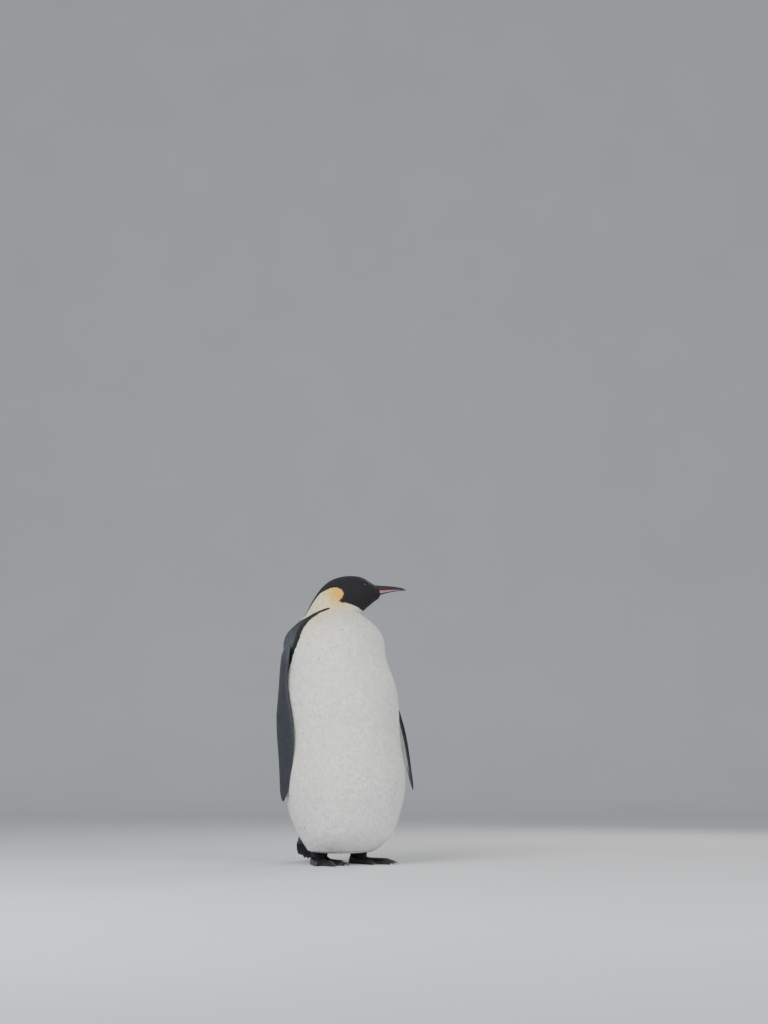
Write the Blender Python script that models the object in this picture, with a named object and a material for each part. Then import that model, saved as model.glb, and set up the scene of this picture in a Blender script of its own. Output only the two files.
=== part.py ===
"""Emperor penguin, life size, standing at rest with its head turned to its left.

Metres, +Z up. The bird faces -Y and its left side is +X. The floor is z = 0, and the origin is the
middle of the footprint of the whole model.

The trunk, neck and head are one loft, parted by thin cuts. Each of its sections is named, lies in a
plane through a front point and a back point, and is a rounded oval about that line. The flippers,
tail, legs, feet, claws, bill and eyes are built against that loft.
"""
import math

import bmesh
import bpy
import numpy as np

# ---------------------------------------------------------------- driving dimensions
FOOTPRINT_MIDDLE = (0.0376, -0.0071, 0.0)    # from the bird's own middle; every solid moves back by it
NECK_AXIS = (-0.005, 0.030)      # x and y of the upright line that the head turns about
HEAD_TURN = 60.0                 # degrees, towards the bird's left
CUT = 0.0003                     # gap between neighbouring solids

EYE_RADIUS = 0.0105
EYE_AT = (0.101, 0.9220)         # forward of the neck axis, and height
EYE_OUT = 0.0312                 # of the eyeball's centre from the head's middle plane

BILL_ROOT = 0.136                # forward of the neck axis, under the feathers of the face
BILL_TIP = 0.242

FLIPPER_CHORD = 0.096            # greatest width, leading edge to trailing edge
FLIPPER_THICK = 0.022            # at the upper arm

LEG_AT = (0.074, 0.004)          # ankle, sideways and along Y
LEG_TOP, LEG_FOOT = 0.090, 0.030
FOOT_TURN = 12.0                 # degrees that each foot points outwards
TOE_REACH = (0.124, 0.150, 0.118)    # inner, middle and outer toe, from the ankle
TOE_SPREAD = (-22.0, 0.0, 22.0)      # degrees off the foot's own line, inner toe first
TOE_HEIGHT = 0.0190
WEB_THICK = 0.0050
CLAW_LENGTH = 0.036
CLAW_RADIUS = 0.0054

TAIL_ROOT = (0.080, 0.160)       # y and z of the middle of the tail's root
TAIL_TIP = (0.222, 0.004)
TAIL_HALF_WIDTH = 0.082
TAIL_THICK = 0.105
TAIL_ROUNDS_FROM = 0.55          # share of its length where the sides start to round in

# ---------------------------------------------------------------- the body's sections
# name: (front forward, front height), (back forward, back height), half width, squareness, turn
# "forward" is the distance ahead of the neck axis, in the turned direction.
SECTIONS = {
    "vent":      ((0.146, 0.046), (-0.036, 0.047), 0.118, 2.20, 0.0),
    "groin":     ((0.208, 0.083), (-0.066, 0.086), 0.146, 2.20, 0.0),
    "thigh":     ((0.248, 0.150), (-0.108, 0.150), 0.173, 2.15, 0.0),
    "belly":     ((0.270, 0.255), (-0.134, 0.255), 0.196, 2.10, 0.0),
    "flank":     ((0.248, 0.400), (-0.152, 0.400), 0.190, 2.05, 0.0),
    "breast":    ((0.221, 0.585), (-0.170, 0.560), 0.188, 2.05, 0.0),
    "shoulder":  ((0.166, 0.690), (-0.172, 0.680), 0.172, 2.05, 0.0),
    "collar":    ((0.147, 0.760), (-0.160, 0.755), 0.165, 2.00, 3.0),
    "neck_base": ((0.114, 0.803), (-0.116, 0.804), 0.120, 2.00, 14.0),
    "throat":    ((0.088, 0.824), (-0.098, 0.838), 0.089, 2.00, 34.0),
    "nape":      ((0.092, 0.835), (-0.065, 0.894), 0.072, 2.00, 53.0),
    "occiput":   ((0.106, 0.847), (-0.016, 0.942), 0.058, 2.05, HEAD_TURN),
    "crown":     ((0.119, 0.858), (0.058, 0.9585), 0.048, 2.10, HEAD_TURN),
    "brow":      ((0.131, 0.868), (0.101, 0.9505), 0.038, 2.10, HEAD_TURN),
    "face":      ((0.144, 0.877), (0.126, 0.9350), 0.027, 2.05, HEAD_TURN),
    "bill_base": ((0.160, 0.886), (0.147, 0.9285), 0.017, 2.00, HEAD_TURN),
}


def spline(knots, values, at):
    """Natural cubic spline through the rows of values at the knots, read at the places in at."""
    gap = np.diff(knots)
    count = len(knots)
    system = np.eye(count)
    slopes = np.diff(values, axis=0) / gap[:, None]
    bends = np.zeros_like(values)
    for i in range(1, count - 1):
        system[i, i - 1:i + 2] = gap[i - 1], 2 * (gap[i - 1] + gap[i]), gap[i]
        bends[i] = 6 * (slopes[i] - slopes[i - 1])
    bends = np.linalg.solve(system, bends)
    i = np.clip(np.searchsorted(knots, at, side="right") - 1, 0, count - 2)
    width = gap[i][:, None]
    before = (knots[i + 1] - at)[:, None] / width
    after = 1 - before
    lift = (before**3 - before) * bends[i] + (after**3 - after) * bends[i + 1]
    return before * values[i] + after * values[i + 1] + lift * width**2 / 6


def body_plan():
    """The sections as rows of numbers, and each one's distance along the body's middle line."""
    rows = np.array([[*f, *b, half, square, turn] for f, b, half, square, turn in SECTIONS.values()])
    middles = (rows[:, 0:2] + rows[:, 2:4]) / 2
    steps = np.linalg.norm(np.diff(middles, axis=0), axis=1)
    return np.concatenate([[0.0], np.cumsum(steps)]), rows


BODY_KNOTS, BODY_ROWS = body_plan()
KNOT = dict(zip(SECTIONS, BODY_KNOTS))


def turned(forward, aside, height, turn):
    """A point given ahead of the neck axis, towards the bird's left and up, as x, y, z."""
    x = NECK_AXIS[0] + forward * np.sin(turn) + aside * np.cos(turn)
    y = NECK_AXIS[1] - forward * np.cos(turn) + aside * np.sin(turn)
    return np.stack(np.broadcast_arrays(x, y, height), axis=-1)


def head_point(forward, aside, height):
    return turned(forward, aside, height, math.radians(HEAD_TURN))


def oval(count, square=2.0):
    """Points of a rounded oval of unit size: forward and sideways, counter-clockwise from above."""
    angle = np.arange(count) * 2 * np.pi / count
    c, s = np.cos(angle), np.sin(angle)
    reach = (np.abs(c)**square + np.abs(s)**square)**(-1 / square)
    return c * reach, s * reach


def body_rings(places, count, grow=0.0):
    """One ring of points for each place along the body, with every section widened by grow."""
    rings = []
    for uf, zf, ub, zb, half, square, turn in spline(BODY_KNOTS, BODY_ROWS, np.asarray(places)):
        along, aside = oval(count, square)
        half_depth = math.hypot(uf - ub, zf - zb) / 2
        scale = (1 + grow / half_depth) * along / 2
        forward = (uf + ub) / 2 + scale * (uf - ub)
        height = (zf + zb) / 2 + scale * (zf - zb)
        rings.append(turned(forward, aside * (half + grow), height, math.radians(turn)))
    return np.array(rings)


def plane_normal(ring):
    """The direction that a flat ring faces, towards the head."""
    middle = ring.mean(axis=0)
    quarter = len(ring) // 4
    normal = np.cross(ring[0] - middle, ring[quarter] - middle)
    return normal / np.linalg.norm(normal)


# ---------------------------------------------------------------- making objects
def clear_scene():
    for obj in list(bpy.data.objects):
        bpy.data.objects.remove(obj, do_unlink=True)


def collection(name):
    made = bpy.data.collections.new(name)
    bpy.context.scene.collection.children.link(made)
    return made


def finish_of(name, colour, roughness):
    made = bpy.data.materials.new(name)
    made.use_nodes = True
    shader = made.node_tree.nodes["Principled BSDF"]
    shader.inputs["Base Color"].default_value = (*colour, 1.0)
    shader.inputs["Roughness"].default_value = roughness
    shader.inputs["Metallic"].default_value = 0.0
    return made


def closed_object(name, points, faces, finish, where):
    """A smooth-shaded object of these points and faces, with its normals outwards."""
    mesh = bpy.data.meshes.new(name)
    mesh.from_pydata((np.array(points) - FOOTPRINT_MIDDLE).tolist(), [], faces)
    shell = bmesh.new()
    shell.from_mesh(mesh)
    bmesh.ops.recalc_face_normals(shell, faces=shell.faces)
    if shell.calc_volume(signed=True) < 0:
        bmesh.ops.reverse_faces(shell, faces=shell.faces)
    shell.to_mesh(mesh)
    shell.free()
    mesh.materials.append(finish)
    obj = bpy.data.objects.new(name, mesh)
    where.objects.link(obj)
    mesh.shade_smooth()
    mesh.set_sharp_from_angle(angle=math.radians(50))
    return obj


def lofted(name, rings, finish, where):
    """A closed object over a row of rings. A ring whose points coincide becomes a pole."""
    count = rings.shape[1]
    rows, faces, points = [], [], []
    for ring in rings:
        pole = np.ptp(ring, axis=0).max() < 1e-7
        start = len(points)
        points.extend(ring[:1] if pole else ring)
        rows.append([start] * count if pole else list(range(start, start + count)))
    for low, high in zip(rows, rows[1:]):
        for i in range(count):
            j = (i + 1) % count
            corners = [low[i], low[j], high[j], high[i]]
            faces.append(list(dict.fromkeys(corners)))
    faces += [row for row in (rows[0], rows[-1]) if len(set(row)) > 1]
    return closed_object(name, points, faces, finish, where)


def slab(name, tops, soles, finish, where):
    """A closed object between two grids of points, one over the other, with a wall round the edge."""
    rows, columns = tops.shape[:2]
    points = np.concatenate([tops.reshape(-1, 3), soles.reshape(-1, 3)])
    index = np.arange(rows * columns).reshape(rows, columns)
    below = rows * columns
    faces = []
    for i in range(rows - 1):
        for j in range(columns - 1):
            corners = [index[i, j], index[i, j + 1], index[i + 1, j + 1], index[i + 1, j]]
            faces += [corners, [c + below for c in corners]]
    edge = [*index[0, :-1], *index[:-1, -1], *index[-1, :0:-1], *index[:0:-1, 0]]
    for a, b in zip(edge, edge[1:] + edge[:1]):
        faces.append([a, b, b + below, a + below])
    faces = [[int(c) for c in face] for face in faces]
    return closed_object(name, points, faces, finish, where)


def hide_cutter(obj):
    obj.hide_render = True
    obj.display_type = "WIRE"
    return obj


def cut(obj, cutter):
    """Takes the cutter's shape from the object."""
    modifier = obj.modifiers.new("Cut by " + cutter.name, "BOOLEAN")
    modifier.operation = "DIFFERENCE"
    modifier.object = cutter


def side_name(side):
    return "left" if side > 0 else "right"


# ---------------------------------------------------------------- trunk, neck and head
RING_POINTS = 32
VENT_RINGS = 4
TRUNK_RINGS = 30
NECK_RINGS = 9
HEAD_RINGS = 20


def vent_cap(count, grow=0.0):
    """Rings that round the underside off, from a pole between the legs to the vent section."""
    first = body_rings([0.0], count, grow)[0]
    middle = first.mean(axis=0)
    drop = 0.013 + grow
    rings = [np.repeat([middle - (0, 0, drop)], count, axis=0)]
    for i in range(1, VENT_RINGS):
        angle = i / VENT_RINGS * math.pi / 2
        ring = middle + (first - middle) * math.sin(angle)
        ring[:, 2] -= drop * math.cos(angle)
        rings.append(ring)
    return np.array(rings)


def neck_cuts():
    """The places along the body where the trunk ends, and where the neck ends."""
    return KNOT["neck_base"] - 0.004, (KNOT["nape"] + KNOT["occiput"]) / 2


def body_stretch(start, end, rings, count, trim=(True, True)):
    """The rings from one place to another, each end drawn back by half a cut."""
    made = body_rings(np.linspace(start, end, rings), count)
    if trim[0]:
        made[0] += plane_normal(made[0]) * CUT / 2
    if trim[1]:
        made[-1] -= plane_normal(made[-1]) * CUT / 2
    return made


def make_trunk(finish, where):
    top, _ = neck_cuts()
    rings = body_stretch(0.0, top, TRUNK_RINGS, RING_POINTS, (False, True))
    return lofted("trunk", np.concatenate([vent_cap(RING_POINTS), rings]), finish, where)


def make_trunk_cutter(finish, where):
    """The trunk made larger by the cut, which trims what is joined to it."""
    top, _ = neck_cuts()
    rings = body_rings(np.linspace(0.0, top, TRUNK_RINGS), RING_POINTS, CUT)
    rings = np.concatenate([vent_cap(RING_POINTS, CUT), rings])
    return hide_cutter(lofted("trunk_cutter", rings, finish, where))


def make_neck(finish, where):
    start, end = neck_cuts()
    return lofted("neck", body_stretch(start, end, NECK_RINGS, RING_POINTS), finish, where)


def make_head(finish, where):
    _, start = neck_cuts()
    end = KNOT["bill_base"]
    return lofted("head", body_stretch(start, end, HEAD_RINGS, RING_POINTS), finish, where)


def make_head_cutter(finish, where):
    """The head made larger by the cut, which trims the root of the bill."""
    _, start = neck_cuts()
    rings = body_rings(np.linspace(start, KNOT["bill_base"], HEAD_RINGS), RING_POINTS, CUT)
    rings[-1] += plane_normal(rings[-1]) * CUT / 2
    return hide_cutter(lofted("head_cutter", rings, finish, where))


# ---------------------------------------------------------------- eyes
def make_eye(side, finish, where, name, radius):
    centre = head_point(EYE_AT[0], side * EYE_OUT, EYE_AT[1]) - FOOTPRINT_MIDDLE
    bpy.ops.mesh.primitive_uv_sphere_add(segments=16, ring_count=10, radius=radius, location=centre)
    obj = bpy.context.object
    obj.name = name
    for linked in list(obj.users_collection):
        linked.objects.unlink(obj)
    where.objects.link(obj)
    obj.data.materials.append(finish)
    obj.data.shade_smooth()
    return obj


def make_eyes(head, finish, where, cutters):
    for side in (1, -1):
        make_eye(side, finish, where, "eye_" + side_name(side), EYE_RADIUS)
        socket = make_eye(side, finish, cutters, "socket_" + side_name(side), EYE_RADIUS + CUT)
        cut(head, hide_cutter(socket))


# ---------------------------------------------------------------- bill
# share of the way from root to tip: culmen height, mouth line height, lower edge height, half width
BILL_LINES = np.array([
    (0.00, 0.9285, 0.9070, 0.8870, 0.0125),
    (0.25, 0.9266, 0.9085, 0.8945, 0.0102),
    (0.50, 0.9248, 0.9100, 0.9015, 0.0076),
    (0.75, 0.9203, 0.9105, 0.9058, 0.0050),
    (0.94, 0.9130, 0.9092, 0.9076, 0.0024),
])
BILL_RINGS = 12
BILL_POINTS = 12
LOWER_BILL_END = 0.93            # share of the bill's length that the lower jaw reaches


def half_oval(count, bottom):
    """A ring with a flat mouth side: half an oval over its chord, for the upper or the lower jaw."""
    angle = np.linspace(0, np.pi, count)
    aside, rise = np.cos(angle), np.sin(angle)
    return (aside[::-1], -rise[::-1]) if bottom else (aside, rise)


def make_bill_half(name, lower, finish, where, head_cutter):
    """One jaw: half ovals between the mouth line and the bill's edge, from the root to the tip."""
    reach = LOWER_BILL_END if lower else 0.985
    shares = np.linspace(0.0, reach, BILL_RINGS)
    rings = []
    for share in shares:
        culmen, mouth, edge, half = spline(BILL_LINES[:, 0], BILL_LINES[:, 1:], np.array([share]))[0]
        mouth += -CUT / 2 if lower else CUT / 2
        depth = (mouth - edge) if lower else (culmen - mouth)
        aside, rise = half_oval(BILL_POINTS, lower)
        close = math.sqrt(max(0.04, 1 - max(0.0, (share - 0.8) / (reach - 0.8))**2))
        forward = BILL_ROOT + share * (BILL_TIP - BILL_ROOT) / 0.985
        rings.append(head_point(forward, aside * half * close, mouth + rise * depth * close))
    cut(lofted(name, np.array(rings), finish, where), head_cutter)


# ---------------------------------------------------------------- flippers
# side: shoulder, elbow, wrist and tip of the middle line, as x, y, z with x outwards
FLIPPER_LINES = {
    1: ((0.162, 0.044, 0.738), (0.192, 0.022, 0.587), (0.244, 0.004, 0.412), (0.291, 0.006, 0.236)),
    -1: ((0.176, 0.052, 0.738), (0.202, 0.034, 0.577), (0.211, -0.006, 0.389), (0.204, 0.019, 0.201)),
}
FLIPPER_KNOTS = (0.0, 0.30, 0.65, 1.0)
# side: how far the leading edge leans outwards for each metre forwards, at the arm, elbow and tip
FLIPPER_LEANS = {1: (0.05, -0.10, -0.35), -1: (0.15, -0.09, -0.10)}
FLIPPER_LEANS_AT = (0.28, 0.46, 0.90)
# share of the way down, share of the greatest chord, share of the greatest thickness
FLIPPER_SHAPE = np.array([
    (0.00, 0.52, 0.60),
    (0.08, 0.70, 1.00),
    (0.22, 0.74, 0.95),
    (0.38, 0.80, 0.80),
    (0.56, 1.00, 0.62),
    (0.68, 0.94, 0.52),
    (0.86, 0.62, 0.38),
    (1.00, 0.36, 0.26),
])
FLIPPER_TIP_ROUND = 0.92         # share of the length where the tip starts to round off
FLIPPER_ARM_END = 0.40           # share of the length where the arm is cut from the blade
FLIPPER_RINGS = 20
FLIPPER_POINTS = 14


def flipper_middle(side, share):
    """The middle line, a curve through its four points, and its direction at that share."""
    points = np.array(FLIPPER_LINES[side]) * (side, 1, 1)
    here, ahead = spline(np.array(FLIPPER_KNOTS), points, np.array([share, share + 0.01]))
    way = (ahead - here) / np.linalg.norm(ahead - here)
    return here, way


def flipper_ring(side, share, grow=0.0):
    """A lens-shaped section, thick near the leading edge, facing out from the body."""
    middle, way = flipper_middle(side, share)
    chord, thick = spline(FLIPPER_SHAPE[:, 0], FLIPPER_SHAPE[:, 1:], np.array([share]))[0]
    rounding = max(0.0, (share - FLIPPER_TIP_ROUND) / (1 - FLIPPER_TIP_ROUND))
    close = math.sqrt(max(0.0, 1 - rounding**2))
    half_chord = FLIPPER_CHORD / 2 * chord * close + grow
    half_thick = FLIPPER_THICK / 2 * thick * (0.35 + 0.65 * close) + grow
    if close == 0.0:
        half_chord = half_thick = 0.0
    lean = np.interp(share, FLIPPER_LEANS_AT, FLIPPER_LEANS[side])
    forward = np.array([lean * side, -1.0, 0.0])
    forward -= way * (forward @ way)
    forward /= np.linalg.norm(forward)
    out = np.cross(forward, way) * side
    along, across = oval(FLIPPER_POINTS)
    across = across * (0.78 + 0.22 * along)
    # the order of the points runs the same way round on both sides of the bird
    across = across * side
    return middle + np.outer(along * half_chord, forward) + np.outer(across * half_thick, out)


def make_flipper(side, finish, where, trunk_cutter):
    shares = np.linspace(0, 1, FLIPPER_RINGS)
    shares = 1 - (1 - shares)**1.35
    arm = [s for s in shares if s < FLIPPER_ARM_END] + [FLIPPER_ARM_END]
    blade = [FLIPPER_ARM_END + CUT / 0.5] + [s for s in shares if s > FLIPPER_ARM_END + 0.01]
    for part, stretch in (("arm", arm), ("blade", blade)):
        rings = np.array([flipper_ring(side, s) for s in stretch])
        obj = lofted(f"flipper_{part}_{side_name(side)}", rings[::-1], finish, where)
        cut(obj, trunk_cutter)


# ---------------------------------------------------------------- tail
TAIL_RINGS = 8
TAIL_POINTS = 14


def make_tail(finish, where, trunk_cutter, floor_cutter):
    """A wedge of stiff quills: wide and thick at the root, thin and narrow at the floor."""
    root, tip = np.array([0.0, *TAIL_ROOT]), np.array([0.0, *TAIL_TIP])
    way = (tip - root) / np.linalg.norm(tip - root)
    up = np.cross(way, (1.0, 0.0, 0.0))
    along, across = oval(TAIL_POINTS, 2.3)
    rings = []
    for share in np.linspace(0, 1, TAIL_RINGS):
        rounding = max(0.0, (share - TAIL_ROUNDS_FROM) / (1 - TAIL_ROUNDS_FROM))
        half_width = TAIL_HALF_WIDTH * (1 - 0.25 * share) * math.sqrt(1 - 0.82 * rounding**2)
        half_thick = TAIL_THICK / 2 * (0.10 + 0.90 * (1 - share)**1.25)
        middle = root + (tip - root) * share
        rings.append(middle + np.outer(along * half_width, (1, 0, 0)) + np.outer(across * half_thick, up))
    obj = lofted("tail", np.array(rings)[::-1], finish, where)
    cut(obj, trunk_cutter)
    cut(obj, floor_cutter)


def make_floor_cutter(finish, where):
    """A slab whose top is the floor."""
    bpy.ops.mesh.primitive_cube_add(size=1.0, location=(0, 0, -0.05))
    obj = bpy.context.object
    obj.name = "floor_cutter"
    obj.scale = (1.2, 1.2, 0.1)
    bpy.ops.object.transform_apply(location=False, rotation=False, scale=True)
    for linked in list(obj.users_collection):
        linked.objects.unlink(obj)
    where.objects.link(obj)
    obj.data.materials.append(finish)
    return hide_cutter(obj)


# ---------------------------------------------------------------- legs, feet and claws
LEG_POINTS = 14
FOOT_ACROSS = 29
FOOT_ALONG = 9
HEEL = 0.034                     # of the sole behind the ankle
HEEL_HALF_WIDTH = 0.030
CLAW_POINTS = 10
CLAW_RINGS = 7
CLAW_HIDDEN = 0.008              # length of each claw that is inside the toe
CLAW_ROOT_HEIGHT = 0.0090
CLAW_TIP_HEIGHT = 0.0012
FOOT_HALF_ANGLE = 28.5           # degrees, of the fan of toes and webs


def foot_frame(side):
    """The ankle on the floor, and the foot's own forward and outward directions."""
    turn = math.radians(FOOT_TURN)
    ankle = np.array([side * LEG_AT[0], LEG_AT[1], 0.0])
    forward = np.array([side * math.sin(turn), -math.cos(turn), 0.0])
    outward = np.array([side * math.cos(turn), math.sin(turn), 0.0])
    return ankle, forward, outward


def make_leg(side, finish, where, trunk_cutter):
    """The feathered ankle between the belly and the foot."""
    ankle, forward, outward = foot_frame(side)
    along, across = oval(LEG_POINTS)
    rings = []
    for height in (LEG_FOOT + CUT, 0.042, 0.058, LEG_TOP):
        wide = 0.026 + 0.35 * (height - LEG_FOOT)
        deep = 0.030 + 0.45 * (height - LEG_FOOT)
        ring = ankle + np.outer(along * deep, forward) + np.outer(across * wide * side, outward)
        ring[:, 2] = height
        rings.append(ring)
    obj = lofted("leg_" + side_name(side), np.array(rings), finish, where)
    cut(obj, trunk_cutter)


def foot_outline(angle):
    """How far the foot reaches at an angle off its own line: to the toes, with webs between."""
    reach = np.interp(angle, TOE_SPREAD, TOE_REACH)
    gaps = 0.5 - 0.5 * np.cos(2 * np.pi * (angle - TOE_SPREAD[0]) / (TOE_SPREAD[1] - TOE_SPREAD[0]))
    inside = (angle > TOE_SPREAD[0]) & (angle < TOE_SPREAD[2])
    reach = reach - 0.020 * gaps * inside
    beyond = np.maximum(0.0, np.abs(angle) - TOE_SPREAD[2]) / (FOOT_HALF_ANGLE - TOE_SPREAD[2])
    return reach * (1 - 0.18 * beyond**2)


def foot_height(reach, angle, outline):
    """Height of the foot's top: the instep at the ankle, a ridge along each toe, and the webs."""
    share = reach / outline
    ridge = np.zeros_like(share)
    for spread in TOE_SPREAD:
        aside = reach * np.radians(angle - spread)
        width = 0.0105 - 0.0020 * share
        ridge = np.maximum(ridge, np.exp(-(aside / width)**2))
    toe = TOE_HEIGHT * (1 - 0.12 * share) * np.clip((1.08 - share) / 0.12, 0, 1)**0.5
    web = WEB_THICK * (1.1 - 0.4 * share)
    instep = (LEG_FOOT - WEB_THICK) * np.exp(-(reach / 0.040)**2)
    return np.minimum(LEG_FOOT, np.maximum(web + (toe - web) * ridge, web + instep))


def make_foot(side, finish, where):
    """A fan of toes and webs, from the heel to the toe ends, over its own flat sole."""
    ankle, forward, outward = foot_frame(side)
    angles = np.linspace(-FOOT_HALF_ANGLE, FOOT_HALF_ANGLE, FOOT_ACROSS)
    outline = foot_outline(angles)
    tops, soles = [], []
    for share in np.linspace(0, 1, FOOT_ALONG):
        reach = share * outline
        heel = (1 - share) * np.array([[HEEL], [HEEL_HALF_WIDTH]])
        around = np.radians(angles * 90 / FOOT_HALF_ANGLE)
        along = reach * np.cos(np.radians(angles)) - heel[0]
        across = reach * np.sin(np.radians(angles)) + heel[1] * np.sin(around)
        sole = ankle + np.outer(along, forward) + np.outer(across, outward)
        soles.append(sole)
        tops.append(sole + np.outer(foot_height(reach, angles, outline), (0, 0, 1)))
    return slab("foot_" + side_name(side), np.array(tops), np.array(soles), finish, where)


def claw_rings(side, spread, reach, grow=0.0):
    """Rings of a horn that starts inside the toe and curves down to a point just above the floor."""
    ankle, forward, outward = foot_frame(side)
    angle = math.radians(spread)
    way = forward * math.cos(angle) + outward * math.sin(angle)
    aside = outward * math.cos(angle) - forward * math.sin(angle)
    along, across = oval(CLAW_POINTS)
    rings = []
    for share in np.linspace(0, 1, CLAW_RINGS):
        radius = (CLAW_RADIUS + grow) * math.sqrt(1 - share) * (1 - 0.25 * share)
        start = reach - CLAW_HIDDEN - grow
        middle = ankle + way * (start + share * (CLAW_LENGTH + 2 * grow))
        middle = middle + np.array([0, 0, CLAW_ROOT_HEIGHT * (1 - share**2) + CLAW_TIP_HEIGHT * share**2])
        rings.append(middle + np.outer(along * radius, aside) + np.outer(across * radius, (0, 0, 1)))
    return np.array(rings)


def make_claws(side, foot, finish, where, cutters):
    """Curved horn on each front toe, set into a pocket of the toe."""
    for number, (spread, reach) in enumerate(zip(TOE_SPREAD, TOE_REACH), start=1):
        name = f"{side_name(side)}_{number}"
        lofted("claw_" + name, claw_rings(side, spread, reach), finish, where)
        pocket = lofted("pocket_" + name, claw_rings(side, spread, reach, CUT), finish, cutters)
        cut(foot, hide_cutter(pocket))


# ---------------------------------------------------------------- the whole bird
def main():
    clear_scene()
    parts = collection("emperor_penguin")
    cutters = collection("cutters")
    cutters.hide_render = True
    slate = finish_of("slate_feathers", (0.045, 0.052, 0.065), 0.62)
    white = finish_of("white_feathers", (0.82, 0.81, 0.77), 0.70)
    gold = finish_of("gold_feathers", (0.80, 0.50, 0.12), 0.65)
    black = finish_of("black_feathers", (0.012, 0.012, 0.014), 0.60)
    horn = finish_of("bill_horn", (0.020, 0.018, 0.020), 0.32)
    plate = finish_of("bill_plate", (0.62, 0.26, 0.28), 0.35)
    eye = finish_of("eye", (0.030, 0.014, 0.008), 0.06)
    scaly = finish_of("scaly_skin", (0.022, 0.021, 0.022), 0.48)
    claw = finish_of("claw_horn", (0.030, 0.026, 0.024), 0.38)

    trunk_cutter = make_trunk_cutter(white, cutters)
    floor_cutter = make_floor_cutter(white, cutters)
    make_trunk(white, parts)
    make_neck(gold, parts)
    head = make_head(black, parts)
    make_eyes(head, eye, parts, cutters)
    head_cutter = make_head_cutter(black, cutters)
    make_bill_half("bill_upper", False, horn, parts, head_cutter)
    make_bill_half("bill_lower", True, plate, parts, head_cutter)
    make_tail(slate, parts, trunk_cutter, floor_cutter)
    for side in (1, -1):
        make_flipper(side, slate, parts, trunk_cutter)
        make_leg(side, black, parts, trunk_cutter)
        foot = make_foot(side, scaly, parts)
        make_claws(side, foot, claw, parts, cutters)


main()
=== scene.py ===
"""Emperor penguin, life size: its skin, bill, eyes, claws, feathers and studio stage.

Metres, +Z up. The bird faces -Y and its left side is +X. Every surface here is a function of two
parameters, along the body or limb and around it, with a third number for how far it is lifted off
the solid's own surface. The skin lies a coat's depth inside the solids, and the feathers are thin
closed vanes, rooted in the skin, whose tips reach the solids' surface.
"""

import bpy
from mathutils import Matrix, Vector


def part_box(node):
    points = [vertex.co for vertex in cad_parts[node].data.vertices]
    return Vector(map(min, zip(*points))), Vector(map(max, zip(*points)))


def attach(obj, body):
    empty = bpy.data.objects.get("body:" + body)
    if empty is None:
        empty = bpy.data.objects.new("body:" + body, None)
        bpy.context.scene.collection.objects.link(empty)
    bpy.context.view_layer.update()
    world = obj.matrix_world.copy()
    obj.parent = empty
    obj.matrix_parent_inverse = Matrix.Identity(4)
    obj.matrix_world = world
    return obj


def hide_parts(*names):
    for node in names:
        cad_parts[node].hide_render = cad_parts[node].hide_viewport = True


bl_info = {
    "name": "Emperor Penguin",
    "version": (1, 0, 0),
    "blender": (4, 5, 0),
    "location": "View3D > Sidebar > Penguin",
    "description": "Builds a life-size emperor penguin with its feathers and a studio stage",
    "category": "Add Mesh",
}

import math
from functools import partial

import bpy
import numpy as np
from bpy.props import FloatProperty, FloatVectorProperty, IntProperty, PointerProperty

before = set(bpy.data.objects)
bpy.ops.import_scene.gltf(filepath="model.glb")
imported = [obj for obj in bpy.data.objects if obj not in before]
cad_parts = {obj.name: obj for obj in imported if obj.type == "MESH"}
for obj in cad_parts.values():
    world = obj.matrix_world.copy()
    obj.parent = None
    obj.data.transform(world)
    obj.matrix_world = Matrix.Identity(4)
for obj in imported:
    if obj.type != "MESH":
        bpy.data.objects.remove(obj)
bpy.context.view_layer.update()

BODY = "root"
SIDES = (("left", 1), ("right", -1))


# ---------------------------------------------------------------- settings
def length(label, text, default):
    return FloatProperty(name=label, description=text, default=default, unit="LENGTH", precision=4)


def lengths(label, text, default):
    return FloatVectorProperty(name=label, description=text, default=default, size=len(default),
                               unit="LENGTH", precision=4)


def numbers(label, text, default):
    return FloatVectorProperty(name=label, description=text, default=default, size=len(default))


def number(label, text, default):
    return FloatProperty(name=label, description=text, default=default)


def whole(label, text, default):
    return IntProperty(name=label, description=text, default=default)


def angle(label, text, degrees):
    return FloatProperty(name=label, description=text, default=math.radians(degrees), unit="ROTATION")


def angles(label, text, degrees):
    return FloatVectorProperty(name=label, description=text, size=len(degrees), unit="ROTATION",
                               default=[math.radians(d) for d in degrees])


def colour(label, text, default):
    return FloatVectorProperty(name=label, description=text, default=default, size=3,
                               subtype="COLOR", min=0.0, max=1.0)


def section(label, default):
    text = "Forward and height of the front, forward and height of the back, and the half width"
    return lengths(label, text, default)


def joint(label, default):
    return lengths(label, "Of the flipper's middle line, x outwards", default)


LEAN = "Of the leading edge outwards, for each metre forwards, at the arm, elbow and tip"
SECTIONS = ("vent", "groin", "thigh", "belly", "flank", "breast", "shoulder", "collar",
            "neck_base", "throat", "nape", "occiput", "crown", "brow", "face", "bill_base")


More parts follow.
